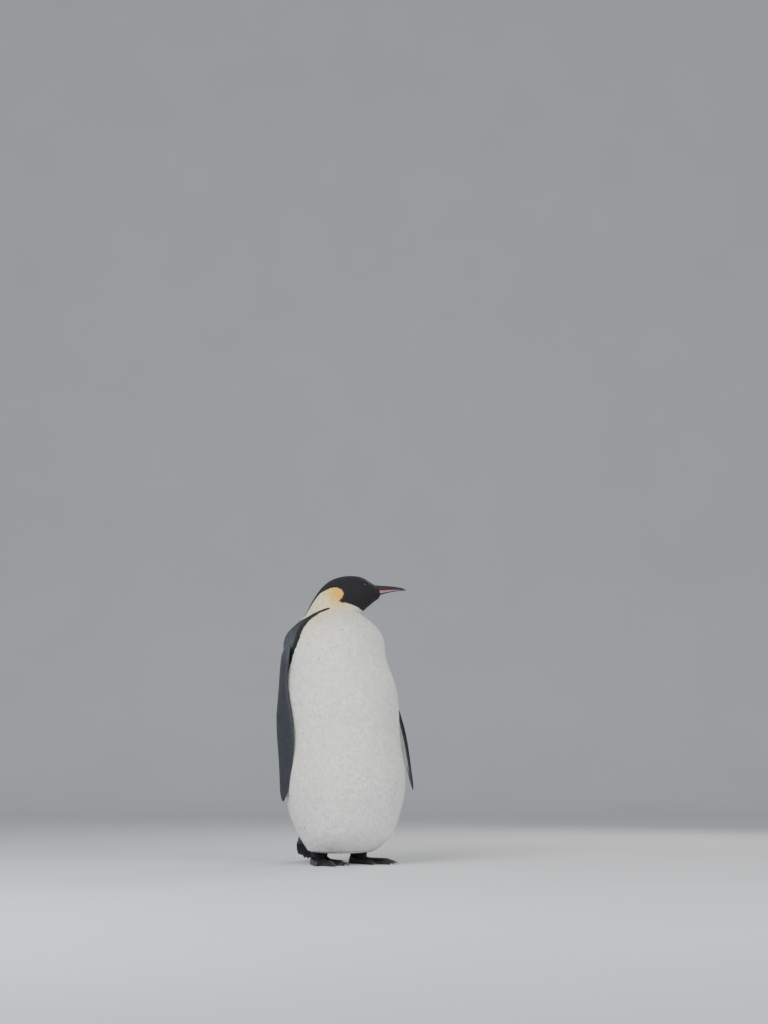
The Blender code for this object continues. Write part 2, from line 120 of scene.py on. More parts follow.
class PenguinBody(bpy.types.PropertyGroup):
    vent: section("Vent", (0.146, 0.046, -0.036, 0.047, 0.118))
    groin: section("Groin", (0.208, 0.083, -0.066, 0.086, 0.146))
    thigh: section("Thigh", (0.248, 0.150, -0.108, 0.150, 0.173))
    belly: section("Belly", (0.270, 0.255, -0.134, 0.255, 0.196))
    flank: section("Flank", (0.248, 0.400, -0.152, 0.400, 0.190))
    breast: section("Breast", (0.221, 0.585, -0.170, 0.560, 0.188))
    shoulder: section("Shoulder", (0.166, 0.690, -0.172, 0.680, 0.172))
    collar: section("Collar", (0.147, 0.760, -0.160, 0.755, 0.165))
    neck_base: section("Neck base", (0.114, 0.803, -0.116, 0.804, 0.120))
    throat: section("Throat", (0.088, 0.824, -0.098, 0.838, 0.089))
    nape: section("Nape", (0.092, 0.835, -0.065, 0.894, 0.072))
    occiput: section("Occiput", (0.106, 0.847, -0.016, 0.942, 0.058))
    crown: section("Crown", (0.119, 0.858, 0.058, 0.9575, 0.048))
    brow: section("Brow", (0.131, 0.868, 0.100, 0.9475, 0.038))
    face: section("Face", (0.144, 0.877, 0.125, 0.9320, 0.027))
    bill_base: section("Bill base", (0.160, 0.886, 0.147, 0.9262, 0.017))
    squareness: numbers("Squareness", "Of each section, vent to bill: 2 is an ellipse, more is squarer",
                        (2.2, 2.2, 2.15, 2.1, 2.05, 2.05, 2.05, 2, 2, 2, 2, 2.05, 2.1, 2.1, 2.05, 2))
    turns: angles("Turns", "How far each section, vent to bill, is turned to the bird's left",
                  (0, 0, 0, 0, 0, 0, 0, 3, 14, 34, 53, 60, 60, 60, 60, 60))
    neck_axis: lengths("Neck axis", "Place of the upright line that the head turns about",
                       (-0.005, 0.030))
    vent_round: length("Underside run", "Length over which the underside rounds in", 0.110)
    vent_drop: length("Underside drop", "How far the underside falls below the vent section", 0.013)
    face_end: length("Face end", "Where the face closes, past its last section", 0.004)
    face_round: length("Face run", "Length over which the face narrows to the bill", 0.024)


class PenguinHead(bpy.types.PropertyGroup):
    eye_forward: length("Eye forward", "Of the eye ahead of the neck axis", 0.101)
    eye_height: length("Eye height", "Of the eye over the floor", 0.922)
    eye_out: length("Eye out", "Of the eyeball's centre from the head's middle plane", 0.0312)
    eye_radius: length("Eye radius", "Of the eyeball", 0.0105)
    gaze_forward: number("Gaze forward", "How much the eye looks ahead, against sideways", 0.22)
    pupil: angle("Pupil", "Half angle of the pupil", 15)
    iris: angle("Iris", "Half angle of the iris", 39)
    lid_opening: angles("Lid opening", "Half angle of the lids' opening, lengthwise and upright",
                        (35, 29))
    lid_reach: angle("Lid reach", "Half angle at which the lids go under the skin", 68)
    lid_thick: length("Lid thickness", "Half the thickness of a lid", 0.00055)
    bill_root: length("Bill root", "Forward place of the bill's root, under the face", 0.136)
    bill_tip: length("Bill tip", "Forward place of the bill's tip", 0.2432)
    bill_shares: numbers("Bill shares", "Places along the bill that its lines are given at",
                         (0.0, 0.25, 0.50, 0.75, 0.90, 1.0))
    culmen: lengths("Culmen", "Height of the bill's upper edge at each share",
                    (0.9262, 0.9242, 0.9225, 0.9188, 0.9145, 0.9078))
    mouth: lengths("Mouth line", "Height of the line between the jaws at each share",
                   (0.9070, 0.9085, 0.9100, 0.9105, 0.9097, 0.9070))
    lower_edge: lengths("Lower edge", "Height of the bill's lower edge at each share",
                        (0.8870, 0.8945, 0.9015, 0.9058, 0.9074, 0.9076))
    bill_half: lengths("Bill half width", "Of the bill at each share",
                       (0.0125, 0.0102, 0.0076, 0.0050, 0.0032, 0.0010))


class PenguinLimbs(bpy.types.PropertyGroup):
    left_shoulder: joint("Left shoulder", (0.162, 0.044, 0.738))
    left_elbow: joint("Left elbow", (0.192, 0.022, 0.587))
    left_wrist: joint("Left wrist", (0.244, 0.004, 0.412))
    left_tip: joint("Left tip", (0.291, 0.006, 0.236))
    left_leans: numbers("Left leans", LEAN, (0.05, -0.10, -0.35))
    right_shoulder: joint("Right shoulder", (0.176, 0.052, 0.738))
    right_elbow: joint("Right elbow", (0.202, 0.034, 0.577))
    right_wrist: joint("Right wrist", (0.211, -0.006, 0.389))
    right_tip: joint("Right tip", (0.204, 0.019, 0.201))
    right_leans: numbers("Right leans", LEAN, (0.15, -0.09, -0.10))
    line_shares: numbers("Line shares", "Of the length, at shoulder, elbow, wrist and tip",
                         (0.0, 0.30, 0.65, 1.0))
    lean_shares: numbers("Lean shares", "Of the length, where the leans are given",
                         (0.28, 0.46, 0.90))
    flipper_shares: numbers("Flipper shares", "Places down the flipper that its sizes are given at",
                            (0.0, 0.08, 0.22, 0.38, 0.56, 0.68, 0.86, 1.0))
    chord_shares: numbers("Chord shares", "Of the greatest chord at each share",
                          (0.52, 0.70, 0.74, 0.80, 1.00, 0.94, 0.62, 0.36))
    thick_shares: numbers("Thickness shares", "Of the greatest thickness at each share",
                          (0.60, 1.00, 0.95, 0.80, 0.62, 0.52, 0.38, 0.26))
    flipper_chord: length("Flipper chord", "Greatest width of the flipper", 0.096)
    flipper_thick: length("Flipper thickness", "Greatest thickness of the flipper", 0.022)
    flipper_tip_round: number("Flipper tip", "Share of the length where the tip rounds off", 0.92)
    flipper_sink: length("Flipper sink", "How far the shoulder end is sunk into the body", 0.026)
    shoulder_run: number("Shoulder run", "Share of the flipper's length that blends in", 0.11)
    tail_root: lengths("Tail root", "Y and height of the middle of the tail's root", (0.080, 0.160))
    tail_tip: lengths("Tail tip", "Y and height of the middle of the tail's tip", (0.222, 0.004))
    tail_half_width: length("Tail half width", "At the root", 0.082)
    tail_thick: length("Tail thickness", "At the root", 0.105)
    tail_rounds_from: number("Tail rounding", "Share of the length where the sides round in", 0.55)
    rump_run: number("Rump run", "Share of the tail's length that blends in", 0.38)
    leg_at: lengths("Leg", "Sideways and Y place of the ankle", (0.074, 0.004))
    foot_top: length("Foot top", "Height of the instep", 0.030)
    foot_turn: angle("Foot turn", "How far each foot points outwards", 12)
    foot_fan: angle("Foot fan", "Half angle of the fan of toes and webs", 28.5)
    toe_reach: lengths("Toe reach", "Inner, middle and outer toe, from the ankle",
                       (0.124, 0.150, 0.118))
    toe_spread: angle("Toe spread", "Between the middle toe and its neighbours", 22)
    toe_height: length("Toe height", "Of the toes over the floor", 0.0190)
    web_thick: length("Web thickness", "Of the webs between the toes", 0.0050)
    heel: lengths("Heel", "Length behind the ankle and half width of the heel", (0.034, 0.030))
    claw_length: length("Claw length", "Of each claw, with its root in the toe", 0.036)
    claw_radius: length("Claw radius", "At the root of each claw", 0.0054)
    claw_heights: lengths("Claw heights", "Of the claw's root, and of its tip", (0.0090, 0.0014))
    claw_hidden: length("Claw root", "Length of the claw inside the toe", 0.008)


class PenguinCoat(bpy.types.PropertyGroup):
    depth: lengths("Coat depth", "Of the feathers over the skin at each section, vent to bill",
                   (0.0075, 0.0075, 0.0075, 0.0075, 0.0075, 0.0072, 0.0068, 0.006, 0.0052,
                    0.0047, 0.0042, 0.0038, 0.0034, 0.0030, 0.0024, 0.0012))
    spacing: lengths("Feather spacing", "Between feathers at each section, vent to bill",
                     (0.0062, 0.0060, 0.0059, 0.0058, 0.0057, 0.0055, 0.0052, 0.0048, 0.0043,
                      0.0039, 0.0035, 0.0031, 0.0028, 0.0024, 0.0020, 0.0016))
    overlap: number("Overlap", "Length of a feather against the spacing", 3.3)
    breadth: number("Breadth", "Width of a feather against the spacing", 1.55)
    ridge: length("Ridge", "Thickness of a feather along its shaft", 0.0005)
    limb_depth: length("Limb depth", "Of the scale-like feathers of flippers and legs", 0.0022)
    flipper_spacing: length("Flipper spacing", "Between the scale-like feathers", 0.0043)
    rump_depth: length("Rump depth", "Of the feathers over the root of the tail", 0.0070)
    rump_spacing: length("Rump spacing", "Between the feathers over the root of the tail", 0.0065)
    quills: whole("Quills", "Stiff feathers in each layer of the tail", 13)
    seed: whole("Seed", "Start of the random numbers", 11)


class PenguinColours(bpy.types.PropertyGroup):
    white: colour("White", "Breast and belly", (0.83, 0.82, 0.785))
    cream: colour("Cream", "Upper breast under the hood", (0.84, 0.75, 0.50))
    gold: colour("Gold", "Side of the neck behind the ear", (0.86, 0.50, 0.085))
    black: colour("Black", "Hood, and the band along the flank", (0.011, 0.011, 0.013))
    slate: colour("Slate", "Back", (0.060, 0.069, 0.084))
    slate_tip: colour("Slate tip", "Ends of the back's feathers", (0.150, 0.172, 0.202))
    flipper: colour("Flipper", "Outer face of the flippers", (0.026, 0.030, 0.039))
    horn: colour("Horn", "Upper jaw", (0.016, 0.015, 0.017))
    plate: colour("Plate", "Plate along the lower jaw", (0.44, 0.16, 0.17))
    plate_end: colour("Plate end", "The plate towards the bill's tip", (0.30, 0.12, 0.27))
    iris: colour("Iris", "Ring of the eye", (0.026, 0.011, 0.006))
    feet: colour("Feet", "Scaly skin of the feet", (0.020, 0.019, 0.021))
    edge_heights: lengths("Edge heights", "Where the edge of the back is given",
                          (0.050, 0.150, 0.255, 0.400, 0.550, 0.630, 0.662, 0.694, 0.710, 0.726,
                           0.742, 0.759, 0.7765, 0.795, 0.805, 0.8115, 0.8205, 0.8277, 0.833,
                           0.838))
    edge: angles("Edge of the back", "From the front, at each edge height",
                 (122, 122, 118, 112, 104, 94, 86.5, 79, 74, 71.5, 70.5, 71.5, 74, 79.8, 83.2,
                  84, 84.5, 81.2, 77.5, 82))
    streak_heights: lengths("Streak heights", "Where the streak's upper edge is given",
                            (0.788, 0.7945, 0.800, 0.8085, 0.8175, 0.8233, 0.831, 0.836, 0.838,
                             0.840))
    streak: angles("Streak", "From the front to the streak's upper edge, at each streak height",
                   (200, 128, 112, 103, 101.5, 98.5, 94.5, 88.5, 82, 70))
    far_streak: number("Far streak", "How much narrower the streak's end is on the outer side of the "
                       "turned neck", 0.62)
    nape_edge: angle("Edge of the nape", "From the front, on the neck", 127)
    band: length("Band", "Width of the black band along the edge of the back", 0.024)
    hood_forward: lengths("Hood forward", "Of points along the hood's edge, throat to nape",
                          (0.120, 0.0865, 0.074, 0.062, 0.038, 0.018, 0.0122, 0.0125, 0.0205,
                           0.0254, 0.0251, 0.0185, 0.005, -0.0155, -0.0325, -0.052, -0.064,
                           -0.080, -0.0935, -0.120))
    hood_height: lengths("Hood height", "Of points along the hood's edge, throat to nape",
                         (0.824, 0.837, 0.8435, 0.848, 0.855, 0.8565, 0.860, 0.865, 0.873,
                          0.8835, 0.8945, 0.9035, 0.909, 0.9095, 0.902, 0.892, 0.8795,
                          0.857, 0.8335, 0.786))
    ear: lengths("Ear", "Forward place and height of the deepest gold", (0.010, 0.893))


class PenguinStage(bpy.types.PropertyGroup):
    view_from: angle("View from", "Direction of the camera, round from the bird's front", -30)
    distance: length("Distance", "From the camera to the bird", 4.825)
    aside: length("Aside", "How far the camera stands to the right of the origin", -0.0226)
    height: length("Height", "Of the camera over the floor", 0.27)
    pan: angle("Pan", "Of the camera, to its right", 1.571)
    pitch: angle("Pitch", "Of the camera, upwards", 10.672)
    lens: number("Lens", "Focal length in millimetres, on a 36 mm frame", 50)
    floor: colour("Floor", "Floor and backdrop", (0.72, 0.73, 0.75))
    key: number("Key light", "Power of the large light at the front, in watts", 95)
    fill: number("Fill light", "Power of the light on the other side, in watts", 34)
    rim: number("Rim light", "Power of the light behind, in watts", 34)
    sky: number("Sky", "Strength of the even light all round", 0.52)


GROUPS = {"penguin_body": PenguinBody, "penguin_head": PenguinHead, "penguin_limbs": PenguinLimbs,
          "penguin_coat": PenguinCoat, "penguin_colours": PenguinColours,
          "penguin_stage": PenguinStage}


# ---------------------------------------------------------------- numbers
def smooth(low, high, value):
    """0 up to low and 1 from high, with the eased cubic 3t^2 - 2t^3 between."""
    t = np.clip((value - low) / (high - low), 0.0, 1.0)
    return t * t * (3 - 2 * t)


def bump_at(value, middle, width):
    """A bell: exp of minus the squared distance from the middle over the squared width."""
    return np.exp(-((value - middle) / width)**2)


def natural_spline(knots, values, at):
    """Natural cubic spline through the rows of values at the knots, read at the places in at."""
    gap = np.diff(knots)
    count = len(knots)
    system = np.eye(count)
    slopes = np.diff(values, axis=0) / gap[:, None]
    bends = np.zeros_like(values)
    for i in range(1, count - 1):
        system[i, i - 1:i + 2] = gap[i - 1], 2 * (gap[i - 1] + gap[i]), gap[i]
        bends[i] = 6 * (slopes[i] - slopes[i - 1])
    bends = np.linalg.solve(system, bends)
    i = np.clip(np.searchsorted(knots, at, side="right") - 1, 0, count - 2)
    width = gap[i][..., None]
    before = (knots[i + 1] - at)[..., None] / width
    after = 1 - before
    lift = (before**3 - before) * bends[i] + (after**3 - after) * bends[i + 1]
    return before * values[i] + after * values[i + 1] + lift * width**2 / 6


def unit(vectors):
    return vectors / np.linalg.norm(vectors, axis=-1, keepdims=True)


def turns(count):
    """Angles spread evenly round a full turn."""
    return np.arange(count) * 2 * np.pi / count


def grid(rows, count):
    """Every pair of a value of rows and one of count angles round a turn, as two arrays."""
    return np.meshgrid(rows, turns(count), indexing="ij")


def wrapped(turn):
    """An angle brought between minus pi and pi."""
    return (turn + np.pi) % (2 * np.pi) - np.pi


def beyond_line(x, z, line_x, line_z):
    """Distance of points from a bent line, positive on the right of its direction of travel."""
    start = np.stack([line_x[:-1], line_z[:-1]], axis=-1)
    way = np.stack([np.diff(line_x), np.diff(line_z)], axis=-1)
    off = np.stack([x, z], axis=-1)[..., None, :] - start
    share = np.clip((off * way).sum(axis=-1) / (way * way).sum(axis=-1), 0, 1)
    gap = np.linalg.norm(off - share[..., None] * way, axis=-1)
    side = way[:, 1] * off[..., 0] - way[:, 0] * off[..., 1]
    nearest = gap.argmin(axis=-1)[..., None]
    picked = np.take_along_axis(side, nearest, axis=-1)
    return (np.sign(picked) * np.take_along_axis(gap, nearest, axis=-1))[..., 0]


def rounded_oval(around, power):
    """The cosine and sine, widened by (|cos|^n + |sin|^n)^(-1/n): 2 is a circle, more is squarer."""
    c, s = np.cos(around), np.sin(around)
    reach = (np.abs(c)**power + np.abs(s)**power)**(-1 / power)
    return c * reach, s * reach


# ---------------------------------------------------------------- surfaces
class Body:
    """Trunk, neck and head: a stack of rounded ovals, each in the plane through its front and back."""

    def __init__(self, scene):
        self.settings = settings = scene.penguin_body
        rows = np.array([getattr(settings, name)[:] for name in SECTIONS])
        middles = (rows[:, 0:2] + rows[:, 2:4]) / 2
        steps = np.linalg.norm(np.diff(middles, axis=0), axis=1)
        self.knots = np.concatenate([[0.0], np.cumsum(steps)])
        self.rows = np.column_stack([rows, settings.squareness[:], settings.turns[:]])
        self.start, self.end = -settings.vent_round, self.knots[-1] + settings.face_end
        self.head_turn = settings.turns[-1]
        self.place = np.zeros(3)
        head = scene.penguin_head
        eyes = [np.mean([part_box("eye_" + name)[0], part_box("eye_" + name)[1]], axis=0)
                for name, _ in SIDES]
        self.place = np.mean(eyes, axis=0) - self.head_point(head.eye_forward, 0, head.eye_height)

    def knot(self, name):
        return self.knots[SECTIONS.index(name)]

    def turned(self, forward, aside, height, turn):
        """A point given ahead of the neck axis, towards the bird's left, and up."""
        axis = self.settings.neck_axis
        x = axis[0] + forward * np.sin(turn) + aside * np.cos(turn)
        y = axis[1] - forward * np.cos(turn) + aside * np.sin(turn)
        return np.stack(np.broadcast_arrays(x, y, height), axis=-1) + self.place

    def head_point(self, forward, aside, height):
        return self.turned(forward, aside, height, self.head_turn)

    def head_frame(self, points):
        """Each point's distance ahead of the neck axis, to the left, and up, as the head faces."""
        off = points - self.place - (*self.settings.neck_axis, 0.0)
        s, c = math.sin(self.head_turn), math.cos(self.head_turn)
        return off[..., 0] * s - off[..., 1] * c, off[..., 0] * c + off[..., 1] * s, off[..., 2]

    def at(self, along, around, lift=0.0):
        """The sections' values follow a natural spline along the body. Around, the point is the
        rounded oval, widened by lift. The underside closes in as a quarter circle and the face as
        the power 0.75 of one, each over its own length."""
        along, around, lift = np.broadcast_arrays(along, around, lift)
        inside = np.clip(along, 0.0, self.knots[-1])
        read = natural_spline(self.knots, self.rows, inside)
        uf, zf, ub, zb, half, square, turn = np.moveaxis(read, -1, 0)
        ahead, aside = rounded_oval(around, square)
        under = np.clip(1 + along / self.settings.vent_round, 0, 1) * np.pi / 2
        over = np.clip((self.end - along) / self.settings.face_round, 0, 1) * np.pi / 2
        close = np.sin(under) * np.sin(over)**0.75
        half_depth = np.hypot(uf - ub, zf - zb) / 2
        deep = (1 + lift / half_depth) * ahead * close / 2
        forward = (uf + ub) / 2 + deep * (uf - ub) + np.maximum(along - self.knots[-1], 0)
        height = (zf + zb) / 2 + deep * (zf - zb) - (self.settings.vent_drop + lift) * np.cos(under)
        return self.turned(forward, aside * close * (half + lift), height, turn)

    def radius(self, along):
        read = natural_spline(self.knots, self.rows, np.clip(along, 0.0, self.knots[-1]))
        return (np.hypot(read[..., 0] - read[..., 2], read[..., 1] - read[..., 3]) / 2
                + read[..., 4]) / 2

    def by_section(self, values, along):
        """A setting that is given for each section, read between them."""
        return np.interp(along, self.knots, values[:])

    def holds(self, points, margin):
        """Whether points by the trunk lie inside it, by the oval at their own height."""
        height = points[..., 2]
        trunk = slice(0, SECTIONS.index("collar") + 1)
        heights = (self.rows[trunk, 1] + self.rows[trunk, 3]) / 2
        read = natural_spline(heights, self.rows[trunk], np.clip(height, heights[0], heights[-1]))
        axis = self.settings.neck_axis
        off = points - self.place
        across = (off[..., 0] - axis[0]) / (read[..., 4] + margin)
        middle, half = (read[..., 0] + read[..., 2]) / 2, (read[..., 0] - read[..., 2]) / 2
        deep = (axis[1] - off[..., 1] - middle) / (half + margin)
        return np.hypot(across, deep) < 1


class Flipper:
    """A paddle on a curved middle line, from the shoulder at 0 to the tip at 1."""
    start, end = 0.0, 1.0
    ahead = 0.01                                  # step along the line that gives its direction
    thinnest = 0.0006                             # half thickness that the edges keep

    def __init__(self, scene, name, side, body):
        self.limbs, self.side, self.body = scene.penguin_limbs, side, body
        joints = [getattr(self.limbs, f"{name}_{joint_name}")[:]
                  for joint_name in ("shoulder", "elbow", "wrist", "tip")]
        self.line = np.array(joints) * (side, 1, 1)
        self.leans = getattr(self.limbs, name + "_leans")[:]

    def at(self, along, around, lift=0.0):
        """The middle line is a spline through shoulder, elbow, wrist and tip. Around it goes an
        oval with its long axis along the chord, thinner towards the trailing edge; the tip closes
        as a circle, and the shoulder end narrows as one and sinks into the body by the square of
        what is left. Angle 0 is the leading edge and a quarter turn is the outer face."""
        along, around, lift = np.broadcast_arrays(along, around, lift)
        share = np.clip(along, 0, 1)
        knots = np.array(self.limbs.line_shares[:])
        middle = natural_spline(knots, self.line, share)
        way = unit(natural_spline(knots, self.line, share + self.ahead) - middle)
        neared = 1 - np.clip(share / self.limbs.shoulder_run, 0, 1)
        sink = neared**2 * self.limbs.flipper_sink
        middle = middle - sink[..., None] * (self.side, 0, 0)
        table = np.column_stack([self.limbs.chord_shares[:], self.limbs.thick_shares[:]])
        chord, thick = np.moveaxis(
            natural_spline(np.array(self.limbs.flipper_shares[:]), table, share), -1, 0)
        tip = self.limbs.flipper_tip_round
        close = np.sqrt(1 - np.clip((share - tip) / (1 - tip), 0, 1)**2)
        narrow = np.sqrt(1 - 0.97 * neared**2)
        half_chord = np.maximum(self.limbs.flipper_chord / 2 * chord * close * narrow + lift, 0)
        half_thick = self.limbs.flipper_thick / 2 * thick * (0.35 + 0.65 * close) + lift
        half_thick = np.where(close > 0, np.maximum(half_thick, self.thinnest), 0.0)
        lean = np.interp(share, self.limbs.lean_shares[:], self.leans) * self.side
        forward = np.stack([lean, np.full_like(lean, -1.0), np.zeros_like(lean)], axis=-1)
        forward = unit(forward - way * (forward * way).sum(axis=-1, keepdims=True))
        out = np.cross(forward, way) * self.side
        c, s = np.cos(around), np.sin(around)
        return (middle + forward * (c * half_chord)[..., None]
                + out * (s * (0.78 + 0.22 * c) * half_thick)[..., None] + self.body.place)


class Tail:
    """The wedge of the rump and tail, from its root in the body at 0 to the floor at 1."""
    start, end = 0.0, 1.0

    def __init__(self, scene, body):
        self.limbs, self.body = scene.penguin_limbs, body
        self.root = np.array([0.0, *self.limbs.tail_root])
        self.tip = np.array([0.0, *self.limbs.tail_tip])
        self.up = unit(np.cross((1.0, 0.0, 0.0), self.tip - self.root))

    def sizes(self, share):
        """Half width and half thickness: the width narrows evenly and rounds in at the end, and
        the thickness falls as the power 1.25 of what is left. Both fall away towards the root, by
        the square of what is left of the rump, so that it runs out of the back smoothly."""
        start = self.limbs.tail_rounds_from
        rounding = np.clip((share - start) / (1 - start), 0, 1)
        buried = np.clip(1 - share / self.limbs.rump_run, 0, 1)**2
        wide = self.limbs.tail_half_width * (1 - 0.25 * share) * np.sqrt(1 - 0.82 * rounding**2)
        thick = self.limbs.tail_thick / 2 * (0.10 + 0.90 * (1 - share)**1.25)
        return wide * (1 - 0.55 * buried), thick * (1 - 0.35 * buried)

    def at(self, along, around, lift=0.0):
        """An oval across the straight line from root to tip; a quarter turn is the upper face."""
        along, around, lift = np.broadcast_arrays(along, around, lift)
        wide, thick = self.sizes(np.clip(along, 0, 1))
        across, rise = rounded_oval(around, 2.1)
        middle = self.root + along[..., None] * (self.tip - self.root)
        aside = (across * (wide + lift))[..., None] * (1.0, 0.0, 0.0)
        return middle + aside + (rise * (thick + lift))[..., None] * self.up + self.body.place


class Leg:
    """The short feathered ankle, from the foot at 0 up into the belly at 1."""
    start, end = 0.0, 1.0
    low, rise = 0.014, 0.085                      # height at the foot, and how far it runs up
    deep, wide = (0.030, 0.45), (0.026, 0.35)     # half widths at the foot, and how they grow

    def __init__(self, scene, side, body):
        self.limbs, self.side, self.body = scene.penguin_limbs, side, body
        turn = self.limbs.foot_turn
        self.ankle = np.array([side * self.limbs.leg_at[0], self.limbs.leg_at[1], 0.0])
        self.forward = np.array([side * math.sin(turn), -math.cos(turn), 0.0])
        self.outward = np.array([side * math.cos(turn), math.sin(turn), 0.0])

    def place(self, forward, outward, height):
        return (self.ankle + self.body.place + np.multiply.outer(forward, self.forward)
                + np.multiply.outer(outward, self.outward)
                + np.multiply.outer(height, (0.0, 0.0, 1.0)))

    def at(self, along, around, lift=0.0):
        """An upright oval that widens evenly with height."""
        along, around, lift = np.broadcast_arrays(along, around, lift)
        height = self.low + self.rise * along
        over = np.maximum(height - self.limbs.foot_top, 0)
        deep = (self.deep[0] + self.deep[1] * over + lift) * np.cos(around)
        wide = (self.wide[0] + self.wide[1] * over + lift) * np.sin(around)
        return self.place(deep, wide, height)


# ---------------------------------------------------------------- meshes
def new_mesh(name, points, face_sets, places=None):
    """A mesh of points and sets of faces, each set an array with one row of corners a face.
    places holds the unwrap's position of every corner, in the same order."""
    corners = np.concatenate([faces.ravel() for faces in face_sets])
    sizes = np.concatenate([np.full(len(faces), faces.shape[1]) for faces in face_sets])
    mesh = bpy.data.meshes.new(name)
    mesh.vertices.add(len(points))
    mesh.vertices.foreach_set("co", np.asarray(points, np.float32).ravel())
    mesh.loops.add(len(corners))
    mesh.loops.foreach_set("vertex_index", corners.astype(np.int32))
    mesh.polygons.add(len(sizes))
    mesh.polygons.foreach_set("loop_start", (np.cumsum(sizes) - sizes).astype(np.int32))
    mesh.update(calc_edges=True)
    if places is not None:
        layer = mesh.uv_layers.new(name="OFBake")
        layer.data.foreach_set("uv", np.asarray(places, np.float32).ravel())
    return mesh


def new_object(mesh, *materials):
    obj = bpy.data.objects.new(mesh.name, mesh)
    bpy.context.scene.collection.objects.link(obj)
    for material in materials:
        mesh.materials.append(material)
    mesh.shade_smooth()
    return obj


def joined(name, meshes, finish):
    """One object made of several meshes."""
    pieces = [new_object(mesh, finish) for mesh in meshes]
    with bpy.context.temp_override(active_object=pieces[0], selected_editable_objects=pieces):
        bpy.ops.object.join()
    pieces[0].name = pieces[0].data.name = name
    return pieces[0]


def add_values(mesh, name, kind, values, domain="POINT"):
    """An attribute of the mesh, stored under the field that its kind goes by."""
    field = {"FLOAT": "value", "FLOAT_VECTOR": "vector", "FLOAT_COLOR": "color"}[kind]
    layer = mesh.attributes.new(name, kind, domain)
    layer.data.foreach_set(field, np.asarray(values, np.float32).ravel())


def add_colours(mesh, colours, domain="POINT"):
    """Colours with an alpha, given one a point, and kept on points or on the corners of faces."""
    if domain == "CORNER":
        corners = np.empty(len(mesh.loops), np.int32)
        mesh.loops.foreach_get("vertex_index", corners)
        colours = colours[corners]
    add_values(mesh, "tint", "FLOAT_COLOR", colours, domain)


def opaque(rgb, alpha=0.0):
    """Colours with an alpha, which says how much of a feather's pale tip and dark shaft shows."""
    alpha = np.broadcast_to(alpha, np.shape(rgb)[:-1])
    return np.concatenate([rgb, alpha[..., None]], axis=-1)


def dressed(piece, slot, *nodes):
    """The piece rides on the body and stands for those solids, which it hides; the slot is not used."""
    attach(piece, BODY)
    if nodes:
        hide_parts(*nodes)


def volume_sign(points, quads):
    """1 where the faces of a closed form look outwards, and -1 where they look inwards."""
    a, b, c, d = (points[quads[:, i]] for i in range(4))
    return np.sign((a * np.cross(b, c)).sum() + (a * np.cross(c, d)).sum())


def cells(index):
    """Faces between the neighbouring rows and columns of a grid of point numbers."""
    corners = index[:-1, :-1], index[:-1, 1:], index[1:, 1:], index[1:, :-1]
    return np.stack(corners, axis=-1).reshape(-1, 4)


def tube(name, points, chart=((0.0, 0.0), (1.0, 1.0)), ring=False):
    """A closed tube over a grid of points, rows along and columns around. It has a face on each
    end, or where it is a ring, its last row meets its first. Its unwrap is the grid itself, laid
    in the chart's rectangle, with the end faces in a corner."""
    rows, columns = points.shape[:2]
    spans = rows if ring else rows - 1
    low, high = np.array(chart[0]), np.array(chart[1])
    r, c = np.divmod(np.arange(spans * columns), columns)
    steps = ((0, 0), (0, 1), (1, 1), (1, 0))
    quads = np.stack([(r + i) % rows * columns + (c + j) % columns for i, j in steps], axis=-1)
    places = np.stack([np.stack([(c + j) / columns, (r + i) / spans], axis=-1)
                       for i, j in steps], axis=1)
    flat = points.reshape(-1, 3)
    ends = np.stack([np.arange(columns)[::-1], (rows - 1) * columns + np.arange(columns)])
    if volume_sign(flat, quads) < 0:
        quads, places, ends = quads[:, ::-1], places[:, ::-1], ends[:, ::-1]
    places = low + places.reshape(-1, 2) * (high - low)
    if ring:
        return new_mesh(name, flat, [quads], places)
    places = np.concatenate([places, np.broadcast_to(low, (2 * columns, 2))])
    return new_mesh(name, flat, [quads, ends], places)


def slab(name, tops, soles, chart):
    """A closed form between two grids of points, one over the other, with a wall round the edge.
    The two sides lie next to each other in the chart's rectangle."""
    rows, columns = tops.shape[:2]
    below = rows * columns
    index = np.arange(below).reshape(rows, columns)
    upper = cells(index)
    edge = np.concatenate([index[0, :-1], index[:-1, -1], index[-1, :0:-1], index[:0:-1, 0]])
    following = np.roll(edge, -1)
    wall = np.stack([following, edge, edge + below, following + below], axis=-1)
    quads = np.concatenate([upper, upper[:, ::-1] + below, wall])
    points = np.concatenate([tops.reshape(-1, 3), soles.reshape(-1, 3)])
    low, high = np.array(chart[0]), np.array(chart[1])
    share = np.stack([index // columns / (rows - 1), index % columns / (columns - 1)], axis=-1)
    share = share.reshape(-1, 2)
    both = np.concatenate([share * (0.48, 1), share * (0.48, 1) + (0.52, 0)])
    if volume_sign(points, quads) < 0:
        quads = quads[:, ::-1]
    places = low + both[quads.ravel()] * (high - low)
    return new_mesh(name, points, [quads], places)


# ---------------------------------------------------------------- markings
SOFT_EDGE = 0.0008                                # half the width of a marking's edge
HOOD_MIX = (0.798, 0.826)                         # heights where the hood's line takes over
STREAK_DRAWN_IN = (0.79, 0.822)                   # heights over which the outer streak narrows
CREAM_HEIGHTS, GOLD_HEIGHTS = (0.66, 0.85), (0.80, 0.86)    # over which each comes in
SLATE_HEIGHTS = (0.70, 0.83)                      # over which slate turns black, up the neck
GOLD_REACH, GOLD_UPRIGHT = 0.040, 0.8             # reach of the gold, and how much height counts
PALE_FACE = (0.55, 0.70)                          # of a flipper's half chord, where white ends


def tones(scene, *names):
    """Those of the penguin's colours, as arrays."""
    return [np.array(getattr(scene.penguin_colours, name)[:]) for name in names]


